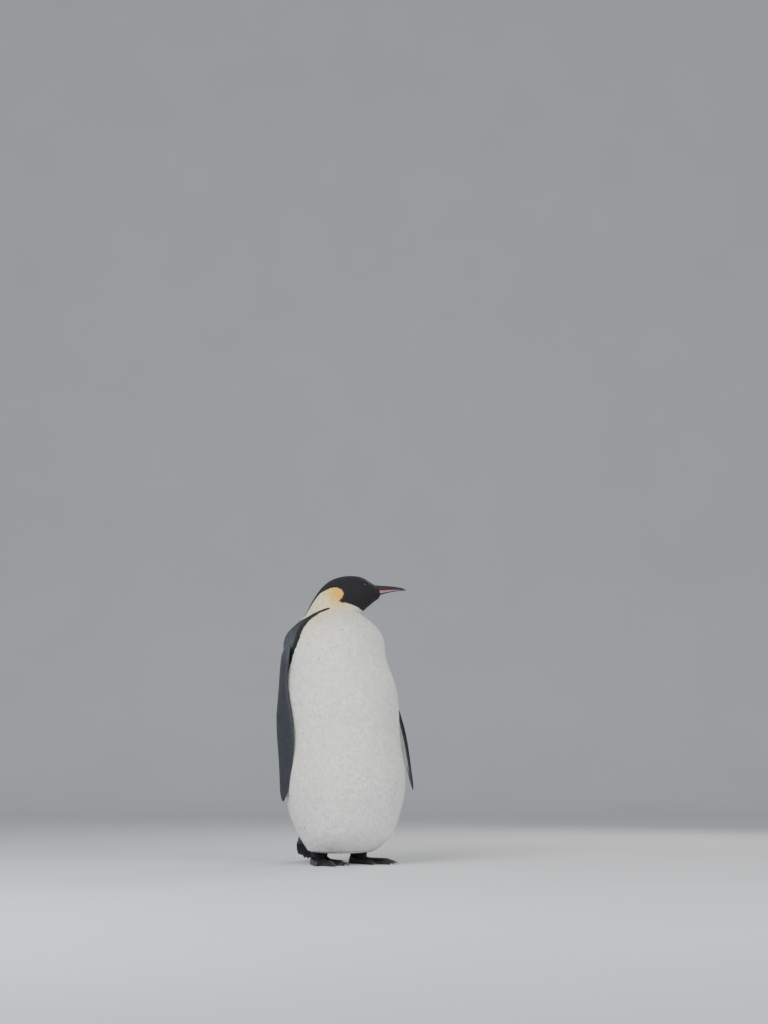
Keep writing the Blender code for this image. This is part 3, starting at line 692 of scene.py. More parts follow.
def body_tint(scene, body, along, around):
    """Colour at places on the body, and how far each lies inside the dark feathers.

    The gold is a bell round the ear, and cream comes in with height and away from the front. The
    dark back begins at an angle from the front that changes with height, with a black band
    along its edge. On the head the dark hood lies beyond a bent line, in the head's own side view,
    and on the nape beyond an angle; the two are mixed by height. Over the shoulder the back's
    edge runs on as a black streak under the gold, up to a second angle that changes with height
    and is drawn in on the bird's left, where the turned neck is wider."""
    colours = scene.penguin_colours
    point = body.at(along, around)
    forward, _, height = body.head_frame(point)
    away = np.abs(wrapped(around))
    radius = body.radius(along)
    edge = np.interp(height, colours.edge_heights[:], colours.edge[:])
    upper = np.interp(height, colours.streak_heights[:], colours.streak[:])
    narrowed = (wrapped(around) > 0) * smooth(*STREAK_DRAWN_IN, height) * colours.far_streak
    upper = upper + (edge - upper) * narrowed
    by_line = beyond_line(forward, height, np.array(colours.hood_forward[:]),
                          np.array(colours.hood_height[:]))
    head = smooth(*HOOD_MIX, height)
    hood = head * by_line + (1 - head) * (away - colours.nape_edge) * radius
    inside = np.maximum(hood, np.minimum(away - edge, upper - away) * radius)

    white, cream, gold, black, slate = tones(scene, "white", "cream", "gold", "black", "slate")
    far = np.hypot(forward - colours.ear[0], (height - colours.ear[1]) * GOLD_UPRIGHT)
    warm = smooth(*CREAM_HEIGHTS, height) * (0.30 + 0.70 * smooth(0.35, 1.3, away))
    gilt = bump_at(far, 0, GOLD_REACH) * smooth(*GOLD_HEIGHTS, height)
    pale = white + (cream - white) * warm[..., None]
    pale = pale + (gold - pale) * np.clip(gilt[..., None] * 1.25, 0, 1)
    greyer = (smooth(colours.band * 0.8, colours.band * 1.35, inside)
              * (1 - smooth(*SLATE_HEIGHTS, height)))
    dark = black + (slate - black) * greyer[..., None]
    share = smooth(-SOFT_EDGE, SOFT_EDGE, inside)[..., None]
    return opaque(pale + (dark - pale) * share, greyer * share[..., 0]), inside


def flipper_tint(scene, along, around):
    """Dark outer face and margins, the back's slate at the shoulder, and a white inner face with a
    dark leading edge and tip."""
    dark, slate, white = tones(scene, "flipper", "slate", "white")
    shoulder = smooth(0.20, 0.04, along)
    dark = dark + (slate - dark) * shoulder[..., None]
    inner = np.sin(around) < -0.38
    patch = np.cos(around) + 0.30 * smooth(0.55, 0.95, along)
    pale = inner * (1 - smooth(*PALE_FACE, patch)) * (1 - smooth(0.80, 0.93, along))
    return opaque(dark + (white - dark) * pale[..., None], (0.30 + 0.70 * shoulder) * (1 - pale))


def tail_tint(scene, along, around):
    """Slate over the rump, darker towards the quills, and white under the root."""
    slate, black, white = tones(scene, "slate", "black", "white")
    dark = slate + (black - slate) * smooth(0.35, 0.7, along)[..., None]
    pale = smooth(0.15, 0.45, -np.sin(around)) * (1 - smooth(0.42, 0.52, along))
    return opaque(dark + (white - dark) * pale[..., None], 0.7 * (1 - pale))


def one_tint(colour_and_alpha, along, around=None):
    """The same colour at every place."""
    return np.tile(colour_and_alpha, (len(along), 1))


# ---------------------------------------------------------------- materials
class Finish:
    """A material whose nodes are added one at a time."""

    def __init__(self, name, roughness, **fixed):
        self.material = bpy.data.materials.new(name)
        self.material.use_nodes = True
        self.nodes = self.material.node_tree.nodes
        self.shader = self.nodes["Principled BSDF"]
        for socket, value in {"Roughness": roughness, **fixed}.items():
            self.shader.inputs[socket.replace("_", " ")].default_value = value

    def add(self, kind, *inputs, **settings):
        """A node with these inputs in order, each a value, a socket to link, or None to skip."""
        node = self.nodes.new(kind)
        for name, value in settings.items():
            setattr(node, name, value)
        for socket, value in zip(node.inputs, inputs):
            if isinstance(value, bpy.types.NodeSocket):
                self.material.node_tree.links.new(value, socket)
            elif value is not None:
                socket.default_value = value
        return node

    def math(self, operation, *inputs):
        return self.add("ShaderNodeMath", *inputs, operation=operation).outputs[0]

    def ease(self, value, low, high, start=0.0, end=1.0):
        node = self.add("ShaderNodeMapRange", value, low, high, start, end,
                        interpolation_type="SMOOTHSTEP")
        return node.outputs[0]

    def mix(self, share, first, second):
        """One colour passing into another; the node's colour sockets come seventh and eighth."""
        node = self.add("ShaderNodeMix", share, *[None] * 5, first, second, data_type="RGBA")
        return node.outputs[2]

    def scaled(self, tint, share):
        node = self.add("ShaderNodeVectorMath", tint, operation="SCALE")
        self.material.node_tree.links.new(share, node.inputs["Scale"])
        return node.outputs[0]

    def noise(self, scale, detail, vector=None):
        vector = vector or self.add("ShaderNodeTexCoord").outputs["Object"]
        return self.add("ShaderNodeTexNoise", vector, None, scale, detail).outputs[0]

    def link(self, value, socket):
        self.material.node_tree.links.new(value, self.shader.inputs[socket])

    def bump(self, height, distance, strength):
        node = self.add("ShaderNodeBump", strength, distance)
        self.material.node_tree.links.new(height, node.inputs["Height"])
        self.link(node.outputs[0], "Normal")


def attribute(finish, name):
    return finish.add("ShaderNodeAttribute", attribute_name=name)


def feather_finish(scene, name, roughness, sheen, shaft=0.30, tip=0.9):
    """Each vane takes its tint, a little lighter or darker than the next, with fine barbs that
    slant off the shaft, painted shade darkening its base, and on the back a paler end and a darker
    shaft."""
    finish = Finish(name, roughness, Sheen_Weight=sheen, Sheen_Roughness=0.45,
                    Specular_IOR_Level=0.35)
    tint = attribute(finish, "tint")
    parts = finish.add("ShaderNodeSeparateXYZ", attribute(finish, "vane").outputs["Vector"]).outputs
    across = finish.math("ABSOLUTE", parts[0])
    slant = finish.math("MULTIPLY_ADD", across, 21.0, finish.math("MULTIPLY", parts[1], 44.0))
    barbs = finish.math("SINE", slant)
    # painted shade: each vane darkens towards its root, where the vanes lying over it would shade it
    base = finish.ease(parts[1], 0.05, 0.62, 0.70, 1.0)
    mottle = finish.ease(finish.noise(55.0, 3.0), 0.3, 0.7, 0.93, 1.05)
    luck = finish.math("MULTIPLY_ADD", parts[2], 0.16, 0.92)
    tone = finish.math("MULTIPLY", finish.math("MULTIPLY", base, mottle), luck)
    tone = finish.math("MULTIPLY", tone, finish.math("MULTIPLY_ADD", barbs, 0.035, 1.0))
    base_colour = finish.scaled(tint.outputs["Color"], tone)
    grey = tint.outputs["Alpha"]
    at_tip = finish.math("MULTIPLY", finish.ease(parts[1], 0.66, 1.0, 0.0, tip), grey)
    tipped = finish.mix(at_tip, base_colour, (*scene.penguin_colours.slate_tip, 1.0))
    at_shaft = finish.math("MULTIPLY", finish.ease(across, 0.05, 0.24, shaft, 0.0), grey)
    finish.link(finish.mix(at_shaft, tipped, (*scene.penguin_colours.black, 1.0)), "Base Color")
    ridge = finish.math("MULTIPLY_ADD", finish.ease(across, 0.0, 0.2, 1.0, 0.0), 1.2, barbs)
    finish.bump(ridge, 0.00012, 0.6)
    return finish.material


def skin_finish(name, roughness, depth, cell, **fixed):
    """The tint, mottled, with raised scales or a fine grain by the size of the cells."""
    finish = Finish(name, roughness, **fixed)
    tint = attribute(finish, "tint").outputs["Color"]
    where = finish.add("ShaderNodeTexCoord").outputs["Object"]
    scales = finish.add("ShaderNodeTexVoronoi", where, None, 1.0 / cell, feature="F1")
    edges = finish.ease(scales.outputs["Distance"], 0.25, 0.75, 1.0, 0.0)
    grain = finish.noise(900.0, 3.0, where)
    tone = finish.math("MULTIPLY", finish.ease(finish.noise(40.0, 3.0, where), 0.3, 0.7, 0.75, 1.2),
                       finish.math("MULTIPLY_ADD", edges, 0.45, 0.7))
    finish.link(finish.scaled(tint, tone), "Base Color")
    finish.bump(finish.math("MULTIPLY_ADD", grain, 0.35, edges), depth, 0.8)
    return finish.material


def horn_finish(name, roughness, streak):
    """Horn: the tint with long faint streaks and growth lines that follow the piece's own map."""
    finish = Finish(name, roughness, Coat_Weight=0.35, Coat_Roughness=0.18)
    tint = attribute(finish, "tint").outputs["Color"]
    where = finish.add("ShaderNodeUVMap", uv_map="OFBake").outputs[0]
    long = finish.add("ShaderNodeMapping", where)
    long.inputs["Scale"].default_value = (60.0, 3.0, 1.0)
    fine = finish.noise(2.0, 4.0, long.outputs[0])
    worn = finish.noise(130.0, 3.0)
    tone = finish.math("MULTIPLY", finish.ease(fine, 0.3, 0.7, 1.0 - streak, 1.0 + streak),
                       finish.ease(worn, 0.3, 0.75, 0.85, 1.15))
    finish.link(finish.scaled(tint, tone), "Base Color")
    finish.link(finish.ease(worn, 0.2, 0.8, roughness * 0.8, roughness * 1.3), "Roughness")
    finish.bump(fine, 0.00008, 0.5)
    return finish.material


def eye_finish(scene):
    """A dark iris round a black pupil, by the angle from the eye's own axis, under a wet coat."""
    head = scene.penguin_head
    finish = Finish("dark_eye", 0.22, Coat_Weight=0.5, Coat_Roughness=0.02, Specular_IOR_Level=0.2)
    off = attribute(finish, "gaze").outputs["Fac"]
    fibres = finish.noise(1400.0, 2.0)
    rim = 0.012, 0.006, 0.004, 1.0
    iris = finish.mix(finish.ease(off, head.pupil, head.iris),
                      (*scene.penguin_colours.iris, 1.0), rim)
    iris = finish.scaled(iris, finish.ease(fibres, 0.3, 0.7, 0.6, 1.4))
    pupil = finish.ease(off, head.pupil * 0.96, head.pupil * 1.04)
    finish.link(finish.mix(pupil, (0.002, 0.002, 0.002, 1.0), iris), "Base Color")
    return finish.material


# ---------------------------------------------------------------- feathers
VANE_ROWS = np.array([0.0, 0.32, 0.66, 0.88])     # share of the length of each row of three points
VANE_WIDTHS = np.array([0.60, 1.0, 0.92, 0.58])   # width there, against the greatest
VANE_SHOWS = 0.85                                 # share of the length at the part in view
VANE_SIZES = (0.90, 1.12)                         # least and greatest, against the spacing
VANE_SKEW = 0.09                                  # spread of the slant of single vanes
VANE_DROOP = 0.00030                              # how much lower than the shaft the sides lie
VANE_UNDER = 0.0002                               # how far the highest stay inside the solids
VANE_SHARP = math.radians(70)                     # between faces that meet in a sharp edge
VANE_SPREAD = 0.6                                 # most that half a vane may turn round a limb
TUFT_PATCH = 0.0030                               # across, on the unwrap
FULL_SPACING = 0.006                              # where a feather is at its thickest
SURVEY = (240, 48)                                # rows and columns that a surface is measured on
STRAY_AROUND, STRAY_ALONG = 0.22, 0.2             # most that a root strays, against the spacing
FEWEST = 6                                        # vanes in the shortest row
GOLDEN = (math.sqrt(5) - 1) / 2


def vane_faces(rows):
    """Faces of one vane: two halves on top, one flat face below, a closed root and a pointed end.
    Points go row by row as left, shaft, right, and the tip is last."""
    first = 3 * np.arange(rows - 1)[:, None]
    left = first + (0, 3, 4, 1)
    right = first + (1, 4, 5, 2)
    under = first + (0, 2, 5, 3)
    last, tip = 3 * (rows - 1), 3 * rows
    ends = np.array([(last, tip, last + 1), (last + 1, tip, last + 2), (last, last + 2, tip),
                     (0, 1, 2)])
    return np.concatenate([left, right, under]), ends


def staggered_roots(surface, start, end, spacing, draw, closeness=0.92):
    """Roots in rows across the lie of the coat, each row shifted by half a feather.

    Rows are as far apart as the spacing asks where the surface is longest, found by adding up
    its length over the spacing; where it is shorter, roots drop out in step with its length."""
    levels = np.linspace(start, end, SURVEY[0])
    ring = np.linspace(0, 2 * np.pi, SURVEY[1] + 1)
    points = surface.at(levels[:, None], ring)
    steps = np.linalg.norm(np.gradient(points, axis=0), axis=-1) / np.gradient(levels)[:, None]
    girth = np.linalg.norm(np.diff(points, axis=1), axis=-1).sum(axis=1)
    longest = steps.max(axis=1)
    wanted = spacing(levels)
    dense = (longest / (wanted * closeness))[:-1] * np.diff(levels)
    count = np.concatenate([[0.0], np.cumsum(dense)])
    rows = np.interp(np.arange(int(count[-1])) + 0.5, count, levels)
    in_row = np.maximum(np.round(np.interp(rows, levels, girth / wanted)), FEWEST).astype(int)
    row = np.repeat(np.arange(len(rows)), in_row)
    place = np.arange(len(row)) - np.repeat(np.cumsum(in_row) - in_row, in_row)
    stray = draw.uniform(-STRAY_AROUND, STRAY_AROUND, len(row))
    around = (place + 0.5 * (row % 2) + stray) / in_row[row]
    around = around * 2 * np.pi
    stray = draw.uniform(-STRAY_ALONG, STRAY_ALONG, len(row))
    along = rows[row] + stray * np.gradient(rows)[row]
    near = np.interp(along, levels, np.arange(len(levels))).astype(int)
    side = ((around % (2 * np.pi)) / (2 * np.pi) * SURVEY[1]).astype(int)
    thin = steps[near, side] / longest[near]
    shift = place * GOLDEN
    kept = np.floor((row + 1) * thin + shift) > np.floor(row * thin + shift)
    return along[kept], around[kept]


def vanes(surface, along, around, spacing, depth, coat, lie, draw):
    """Points of a vane on each root, its place over the skin read from the surface itself, and
    the place along the surface of the part of each vane that shows.

    The vane's length runs with the lie of the coat and its width across it. What it has still to
    rise, from the skin to the coat's surface, falls as the power 3.4 of what is left of its
    length, and its sides lie lower than its shaft."""
    small = 1e-4
    here = surface.at(along, around)
    ahead = (surface.at(along + lie * small, around) - here) / small
    beside = (surface.at(along, around + small) - here) / small
    outward = surface.at(along, around, small) - here
    hand = np.sign((np.cross(ahead, beside) * outward).sum(axis=-1))
    run = np.linalg.norm(ahead, axis=-1)
    turn = np.linalg.norm(beside, axis=-1)
    tip = along + lie * spacing * coat.overlap / run
    beyond = (surface.at(tip + lie * small, around) - surface.at(tip, around)) / small
    run = np.maximum(run, (run + np.linalg.norm(beyond, axis=-1)) / 2)
    count = len(along)
    share = np.append(np.repeat(VANE_ROWS, 3), 1.0)
    across = np.append(np.outer(VANE_WIDTHS, (-1.0, 0.0, 1.0)).ravel(), 0.0)
    shaft = np.append(np.tile((0.0, 1.0, 0.0), len(VANE_ROWS)), 0.4)
    size = spacing * draw.uniform(*VANE_SIZES, count)
    reach = (size * coat.overlap)[:, None]
    skew = draw.normal(0.0, VANE_SKEW, count)[:, None]
    a = along[:, None] + lie * share * reach / run[:, None]
    wide = across * (size * coat.breadth / 2)[:, None] + skew * share * reach
    sweep = np.clip(wide / np.maximum(turn[:, None], 0.002), -VANE_SPREAD, VANE_SPREAD)
    b = around[:, None] + hand[:, None] * sweep
    rise = (1 - 0.92 * (1 - share)**3.4) * (1 - 0.07 * draw.random(count))[:, None]
    droop = np.abs(across) * VANE_DROOP * np.minimum(spacing / FULL_SPACING, 1.2)[:, None]
    ridge = shaft * coat.ridge * np.minimum(spacing / FULL_SPACING, 1.0)[:, None]
    lift = -depth[:, None] * (1 - rise) - droop + ridge * (1 - share) - VANE_UNDER
    points = surface.at(a, b, lift)
    luck = draw.random(count)[:, None]
    vane = np.stack(np.broadcast_arrays(across / VANE_WIDTHS.max(), share, luck), axis=-1)
    return points, vane, along + lie * VANE_SHOWS * (reach / run[:, None])[:, 0]


def vane_piece(name, surface, along, around, points, vane, tints, finish):
    """One object of many vanes. Its unwrap puts each vane in a small patch at its root's place."""
    count, each = points.shape[:2]
    quads, ends = vane_faces(len(VANE_ROWS))
    offset = (np.arange(count) * each)[:, None, None]
    face_sets = [(quads + offset).reshape(-1, 4), (ends + offset).reshape(-1, 3)]
    root = np.stack([(around % (2 * np.pi)) / (2 * np.pi),
                     (along - surface.start) / (surface.end - surface.start)], axis=-1)
    patch = np.stack([vane[..., 0] / 2, vane[..., 1] - 0.5], axis=-1) * TUFT_PATCH
    places = (np.clip(root, 0.003, 0.997)[:, None, :] + patch).reshape(-1, 2)
    corners = np.concatenate([faces.ravel() for faces in face_sets])
    mesh = new_mesh(name, points.reshape(-1, 3), face_sets, places[corners])
    add_colours(mesh, np.repeat(tints, each, axis=0))
    add_values(mesh, "vane", "FLOAT_VECTOR", vane)
    obj = new_object(mesh, finish)
    mesh.set_sharp_from_angle(angle=VANE_SHARP)
    return obj


# ---------------------------------------------------------------- operators
TOE_HALF = 0.0105                                 # half width of a toe's ridge, at its root
WEB_HOLLOW = 0.020                                # how far a web's edge falls back from the toes
RING_GAP, FOLD_GAP = 0.0058, 0.007                # between raised rings, and folds of the webs
INSTEP_REACH = 0.040                              # where the instep has fallen away, from the ankle
TOE_PADS = 3.2                                    # along each toe
SOLE, OFF_FLOOR = 0.0002, 0.0004                  # heights of the sole, and of claws and quills
SHORT_OF = 0.0004                                 # how far toes, claws and face end inside solids
CLEAR_OF_EYE = (0.0080, 0.0070)                   # ahead and up from the eye, free of feathers
BILL_ROUNDS = 0.93                                # share of a jaw where its tip rounds off
MOUTH_GAP = 0.00012                               # between the mouth line and each jaw
GROOVE_TURN = 0.95                                # turn of the upper jaw's groove from its edge
LOWER_ENDS = 0.965                                # share of the bill where the lower jaw ends
NOSTRIL = (0.36, 0.055)                           # share along the bill, and reach
LID_TONE = (0.016, 0.014, 0.014)
CLAW_TONE = (0.030, 0.027, 0.026)
QUILL_LEVELS = (0.84, 0.42, 0.0, -0.42, -0.84)    # of the layers, against the tail's thickness
QUILL_ROOT, QUILL_ROUNDS = 0.40, 0.07             # share where quills start, and of their tips
LIGHTS = (                                        # size, towards the camera, to its right, up, tint
    ("key", 2.2, 2.6, -1.6, 2.3, (1.0, 1.0, 1.0)),
    ("fill", 2.6, 2.4, 2.4, 1.3, (1.0, 1.0, 1.0)),
    ("rim", 1.4, -2.2, 1.8, 2.2, (1.0, 0.93, 0.84)),
)


class PENGUIN_OT_skin(bpy.types.Operator):
    """One closed skin for trunk, neck, head, lids, flippers, legs, feet and the root of the tail"""
    bl_idname = "penguin.skin"
    bl_label = "Skin"

    def body_part(self, scene, body):
        """The body's surface, sunk by the coat's depth, in rows that are closer on the head."""
        collar, nape, end = body.knot("collar"), body.knot("nape"), body.end - SHORT_OF
        runs = ((body.start * 0.985, 0, 12), (0, collar, 96), (collar, nape, 40), (nape, end, 84))
        a, b = grid(np.concatenate([np.linspace(*run)[:-1] for run in runs] + [[end]]), 128)
        depth = body.by_section(scene.penguin_coat.depth, a)
        mesh = tube("skin", body.at(a, b, -depth), ((0.0, 0.0), (0.66, 1.0)))
        add_colours(mesh, body_tint(scene, body, a.ravel(), b.ravel())[0], "CORNER")
        return mesh

    def limb_part(self, name, surface, rows, columns, lift, tint, chart, stop=0.999):
        a, b = grid(np.linspace(0, stop, rows), columns)
        mesh = tube(name, surface.at(a, b, lift), chart)
        add_colours(mesh, tint(a.ravel(), b.ravel()), "CORNER")
        return mesh

    def foot_part(self, scene, leg, chart):
        """A fan of toes over a flat sole. Height is the web's, with a bell-shaped ridge along each
        toe, raised rings across it, pads at its joints, and an instep that falls off as a bell. The
        edge rounds down as a quarter circle over three quarters of the height there."""
        limbs = scene.penguin_limbs
        fan = math.degrees(limbs.foot_fan)
        spread = math.degrees(limbs.toe_spread)
        toes = np.array([-spread, 0.0, spread])
        turn, share = np.meshgrid(fan * np.sin(np.linspace(-1, 1, 121) * np.pi / 2),
                                  0.5 - 0.5 * np.cos(np.linspace(0, 1, 110) * np.pi))
        outline = np.interp(turn, toes, limbs.toe_reach[:])
        between = 0.5 - 0.5 * np.cos(2 * np.pi * (turn + spread) / spread)
        outline = outline - WEB_HOLLOW * between * (np.abs(turn) < spread)
        beyond = np.maximum(0.0, np.abs(turn) - spread) / (fan - spread)
        outline = outline * (1 - 0.18 * beyond**2) - SHORT_OF
        reach = share * outline
        around = np.radians(turn * 90 / fan)
        forward = (reach * np.cos(np.radians(turn))
                   - (1 - share) * limbs.heel[0] * np.cos(around)**0.8)
        aside = (reach * np.sin(np.radians(turn))
                 + (1 - share) * limbs.heel[1] * np.sin(around))
        ridge = np.zeros_like(share)
        for toe in toes:
            off = reach * np.radians(turn - toe)
            pads = 1 + 0.12 * np.cos(2 * np.pi * TOE_PADS * share)
            ridge = np.maximum(ridge, bump_at(off, 0, (TOE_HALF - 0.0020 * share) * pads))
        rings = 0.0009 * np.abs(np.sin(reach / RING_GAP * np.pi))**0.6 * smooth(0.45, 0.9, ridge)
        toe = limbs.toe_height * (1 - 0.12 * share) * np.clip((1.06 - share) / 0.12, 0, 1)**0.5
        web = limbs.web_thick * (1.1 - 0.4 * share)
        folds = 0.0002 * np.sin(reach / FOLD_GAP * np.pi) * (1 - ridge)
        instep = (limbs.foot_top - limbs.web_thick) * bump_at(reach, 0, INSTEP_REACH)
        height = np.maximum(web + (toe - web) * ridge, web + instep) + rings + folds
        half = reach * math.sin(limbs.foot_fan) + (1 - share) * limbs.heel[1]
        rim = np.minimum((1 - share) * outline, (1 - np.abs(turn) / fan) * half)
        rim = np.minimum(rim, share * (outline + limbs.heel[0]))
        height = np.minimum(height, limbs.foot_top)
        edge = np.clip(rim / np.maximum(height * 0.75, 0.004), 0, 1)
        height = np.maximum((height - 0.0006) * np.sqrt(1 - (1 - edge)**2), 0.0012)
        mesh = slab("foot", leg.place(forward, aside, height),
                    leg.place(forward, aside, np.full_like(share, SOLE)), chart)
        feet = tones(scene, "feet")[0]
        paler = (1 + 0.9 * smooth(0.4, 0.0, ridge))[..., None]
        both = np.concatenate([(feet * paler).reshape(-1, 3), np.tile(feet, (share.size, 1))])
        add_colours(mesh, opaque(both), "CORNER")
        return mesh

    def lid_part(self, scene, body, side, chart):
        """A ring round the eye, on the eyeball: its section is an oval in the angle off the eye's
        axis and the distance from the eye's centre, from the lids' opening to under the skin."""
        head = scene.penguin_head
        turn, about = grid(turns(72), 20)
        long, tall = head.lid_opening
        opening = (1 + 0.05 * np.cos(2 * turn)) / np.hypot(np.cos(turn) / long, np.sin(turn) / tall)
        off = (opening + head.lid_reach) / 2 + (head.lid_reach - opening) / 2 * np.cos(about)
        folds = 0.00012 * np.sin(14 * np.cos(about)) + 0.00006 * np.sin(40 * turn)
        radius = (head.eye_radius + head.lid_thick * (1.0 + np.sin(about))
                  + folds * (np.sin(about) > 0))
        mesh = tube("lid", round_eye(scene, body, side, radius, off, turn), chart, ring=True)
        add_colours(mesh, one_tint(opaque(LID_TONE), turn.ravel()), "CORNER")
        return mesh

    def execute(self, context):
        scene = context.scene
        body = Body(scene)
        under_feathers = skin_finish("downy_skin", 0.8, 0.0002, 0.0024)
        scales = skin_finish("scaly_foot_skin", 0.46, 0.0006, 0.0022, Specular_IOR_Level=0.45)
        wrinkled = skin_finish("lid_skin", 0.62, 0.0001, 0.0006, Specular_IOR_Level=0.25)
        skin = new_object(self.body_part(scene, body), under_feathers, scales, wrinkled)
        coat = scene.penguin_coat
        black = opaque(tones(scene, "black")[0])
        rump = self.limb_part("rump", Tail(scene, body), 30, 48, -coat.rump_depth,
                              partial(tail_tint, scene), ((0.68, 0.86), (0.98, 0.98)), 0.54)
        parts = [(rump, 0)]
        for row, (name, side) in enumerate(SIDES):
            low = 0.42 * row
            leg = Leg(scene, side, body)
            flipper = self.limb_part("flipper", Flipper(scene, name, side, body), 90, 48,
                                     -coat.limb_depth, partial(flipper_tint, scene),
                                     ((0.68, low), (0.84, low + 0.40)))
            ankle = self.limb_part("leg", leg, 12, 40, -coat.limb_depth,
                                   partial(one_tint, black), ((0.86, low), (0.98, low + 0.08)), 1.0)
            foot = self.foot_part(scene, leg, ((0.86, low + 0.10), (0.98, low + 0.30)))
            lid = self.lid_part(scene, body, side, ((0.86, low + 0.32), (0.98, low + 0.38)))
            parts += [(flipper, 0), (ankle, 0), (foot, 1), (lid, 2)]
        for mesh, finish in parts:
            part = new_object(mesh, under_feathers, scales, wrinkled)
            mesh.polygons.foreach_set("material_index", np.full(len(mesh.polygons), finish, np.int32))
            join = skin.modifiers.new("Joined to " + mesh.name, "BOOLEAN")
            join.operation, join.solver, join.object = "UNION", "EXACT", part
            context.view_layer.update()
            merged = skin.evaluated_get(context.evaluated_depsgraph_get())
            skin.data = bpy.data.meshes.new_from_object(merged)
            skin.modifiers.clear()
            bpy.data.objects.remove(part)
        skin.data.name = "skin"
        skin.data.shade_smooth()
        dressed(skin, "white_feathers", "trunk", "neck", "head", "tail",
                *[f"{part}_{name}" for name, _ in SIDES
                  for part in ("flipper_arm", "flipper_blade", "leg", "foot")])
        return {"FINISHED"}


def eye_centre(scene, body, side):
    head = scene.penguin_head
    return body.head_point(head.eye_forward, side * head.eye_out, head.eye_height)


def eye_axes(scene, body, side):
    """The eye's own axis, and directions ahead and up that stand square to it."""
    gaze = scene.penguin_head.gaze_forward
    origin = body.head_point(0, 0, 0)
    axis = unit(body.head_point(gaze, side, 0.10) - origin)
    ahead = body.head_point(1, 0, 0) - origin
    ahead = unit(ahead - axis * (ahead @ axis))
    up = np.cross(axis, ahead)
    return axis, ahead, up if up[2] > 0 else -up


def round_eye(scene, body, side, radius, off, turn):
    """Points at a radius from the eye's centre, by their angle off its axis and turn about it."""
    axis, ahead, up = eye_axes(scene, body, side)
    ring = np.cos(turn)[..., None] * ahead + np.sin(turn)[..., None] * up
    return (eye_centre(scene, body, side) + (radius * np.cos(off))[..., None] * axis
            + (radius * np.sin(off))[..., None] * ring)


class PENGUIN_OT_eyes(bpy.types.Operator):
    """Both eyeballs, each with a raised cornea over a dark iris"""
    bl_idname = "penguin.eyes"
    bl_label = "Eyes"

    def execute(self, context):
        """A sphere about the eye's axis, raised over the iris by a bell of the angle off it."""
        scene = context.scene
        body, head = Body(scene), scene.penguin_head
        finish = eye_finish(scene)
        pole = 0.004
        off, turn = grid(np.linspace(pole, np.pi - pole, 48), 64)
        radius = head.eye_radius * (0.975 + 0.045 * bump_at(off, 0, 0.55))
        for name, side in SIDES:
            mesh = tube("eyeball_" + name, round_eye(scene, body, side, radius, off, turn))
            add_values(mesh, "gaze", "FLOAT", off)
            dressed(new_object(mesh, finish), "eye", "eye_" + name)
        return {"FINISHED"}


class PENGUIN_OT_bill(bpy.types.Operator):
    """The upper and lower jaw, with the groove to the nostril and the coloured lower plate"""
    bl_idname = "penguin.bill"
    bl_label = "Bill"

    def jaw(self, scene, body, lower):
        """Across goes the half width times the cosine and up goes the sine, to the power 0.8,
        between the mouth line and the edge; the mouth side is almost flat. Bells press in the
        groove along the upper jaw and the nostril in it."""
        head = scene.penguin_head
        lines = np.column_stack([head.culmen[:], head.mouth[:], head.lower_edge[:],
                                 head.bill_half[:]])
        last = LOWER_ENDS if lower else 1.0
        share, turn = grid((1 - (1 - np.linspace(0, 1, 90))**1.3) * last, 72)
        culmen, mouth, edge, half = np.moveaxis(
            natural_spline(np.array(head.bill_shares[:]), lines, share), -1, 0)
        s, c = np.sin(turn), np.cos(turn)
        outer = s > 0
        swell = np.abs(s)**0.8
        rounding = np.clip(share / last - BILL_ROUNDS, 0, 1) / (1.0005 - BILL_ROUNDS)
        close = np.sqrt(np.clip(1 - rounding**2, 0.02, 1))
        if lower:
            lip = mouth - MOUTH_GAP
            groove = 0.0005 * bump_at(turn % np.pi, np.pi / 2, 0.22) * smooth(0.9, 0.6, share)
            rise = np.where(outer, lip - (lip - edge) * swell * close + groove,
                            lip - 0.0008 * swell * close)
            side = half * c * close * (1 - 0.10 * smooth(0.5, 1.0, np.abs(s)))
        else:
            lip = mouth + MOUTH_GAP
            rise = np.where(outer, lip + (culmen - lip) * swell * close, lip + 0.0006 * swell * close)
            away = np.minimum(np.abs(turn - GROOVE_TURN), np.abs(turn - (np.pi - GROOVE_TURN)))
            press = 0.11 * bump_at(away, 0, 0.20) * smooth(0.95, 0.75, share)
            nostril = 0.30 * bump_at(away, 0, 0.10) * bump_at(share, *NOSTRIL)
            side = half * c * close * (1 - np.where(outer, press + nostril, 0))
        forward = head.bill_root + share * (head.bill_tip - head.bill_root)
        return share, turn, body.head_point(forward, side, rise)

    def execute(self, context):
        """The plate lies along the lower jaw's flank and passes from pink to violet."""
        scene = context.scene
        body = Body(scene)
        horn, plate, violet = tones(scene, "horn", "plate", "plate_end")
        for name, lower, slot, roughness in (("upper", False, "bill_horn", 0.30),
                                             ("lower", True, "bill_plate", 0.34)):
            share, turn, points = self.jaw(scene, body, lower)
            mesh = tube(f"bill_{name}_horn", points)
            tint = np.broadcast_to(horn, (*share.shape, 3))
            if lower:
                down = np.abs(np.sin(turn))
                flank = smooth(0.02, 0.10, down) * smooth(0.66, 0.54, down) * (np.sin(turn) > 0)
                shade = plate + (violet - plate) * smooth(0.35, 0.75, share)[..., None]
                tint = tint + (shade - tint) * (flank * smooth(0.86, 0.70, share))[..., None]
            add_colours(mesh, opaque(tint.reshape(-1, 3)))
            finish = horn_finish(f"bill_{name}_finish", roughness, 0.16)
            dressed(new_object(mesh, finish), slot, "bill_" + name)
        return {"FINISHED"}


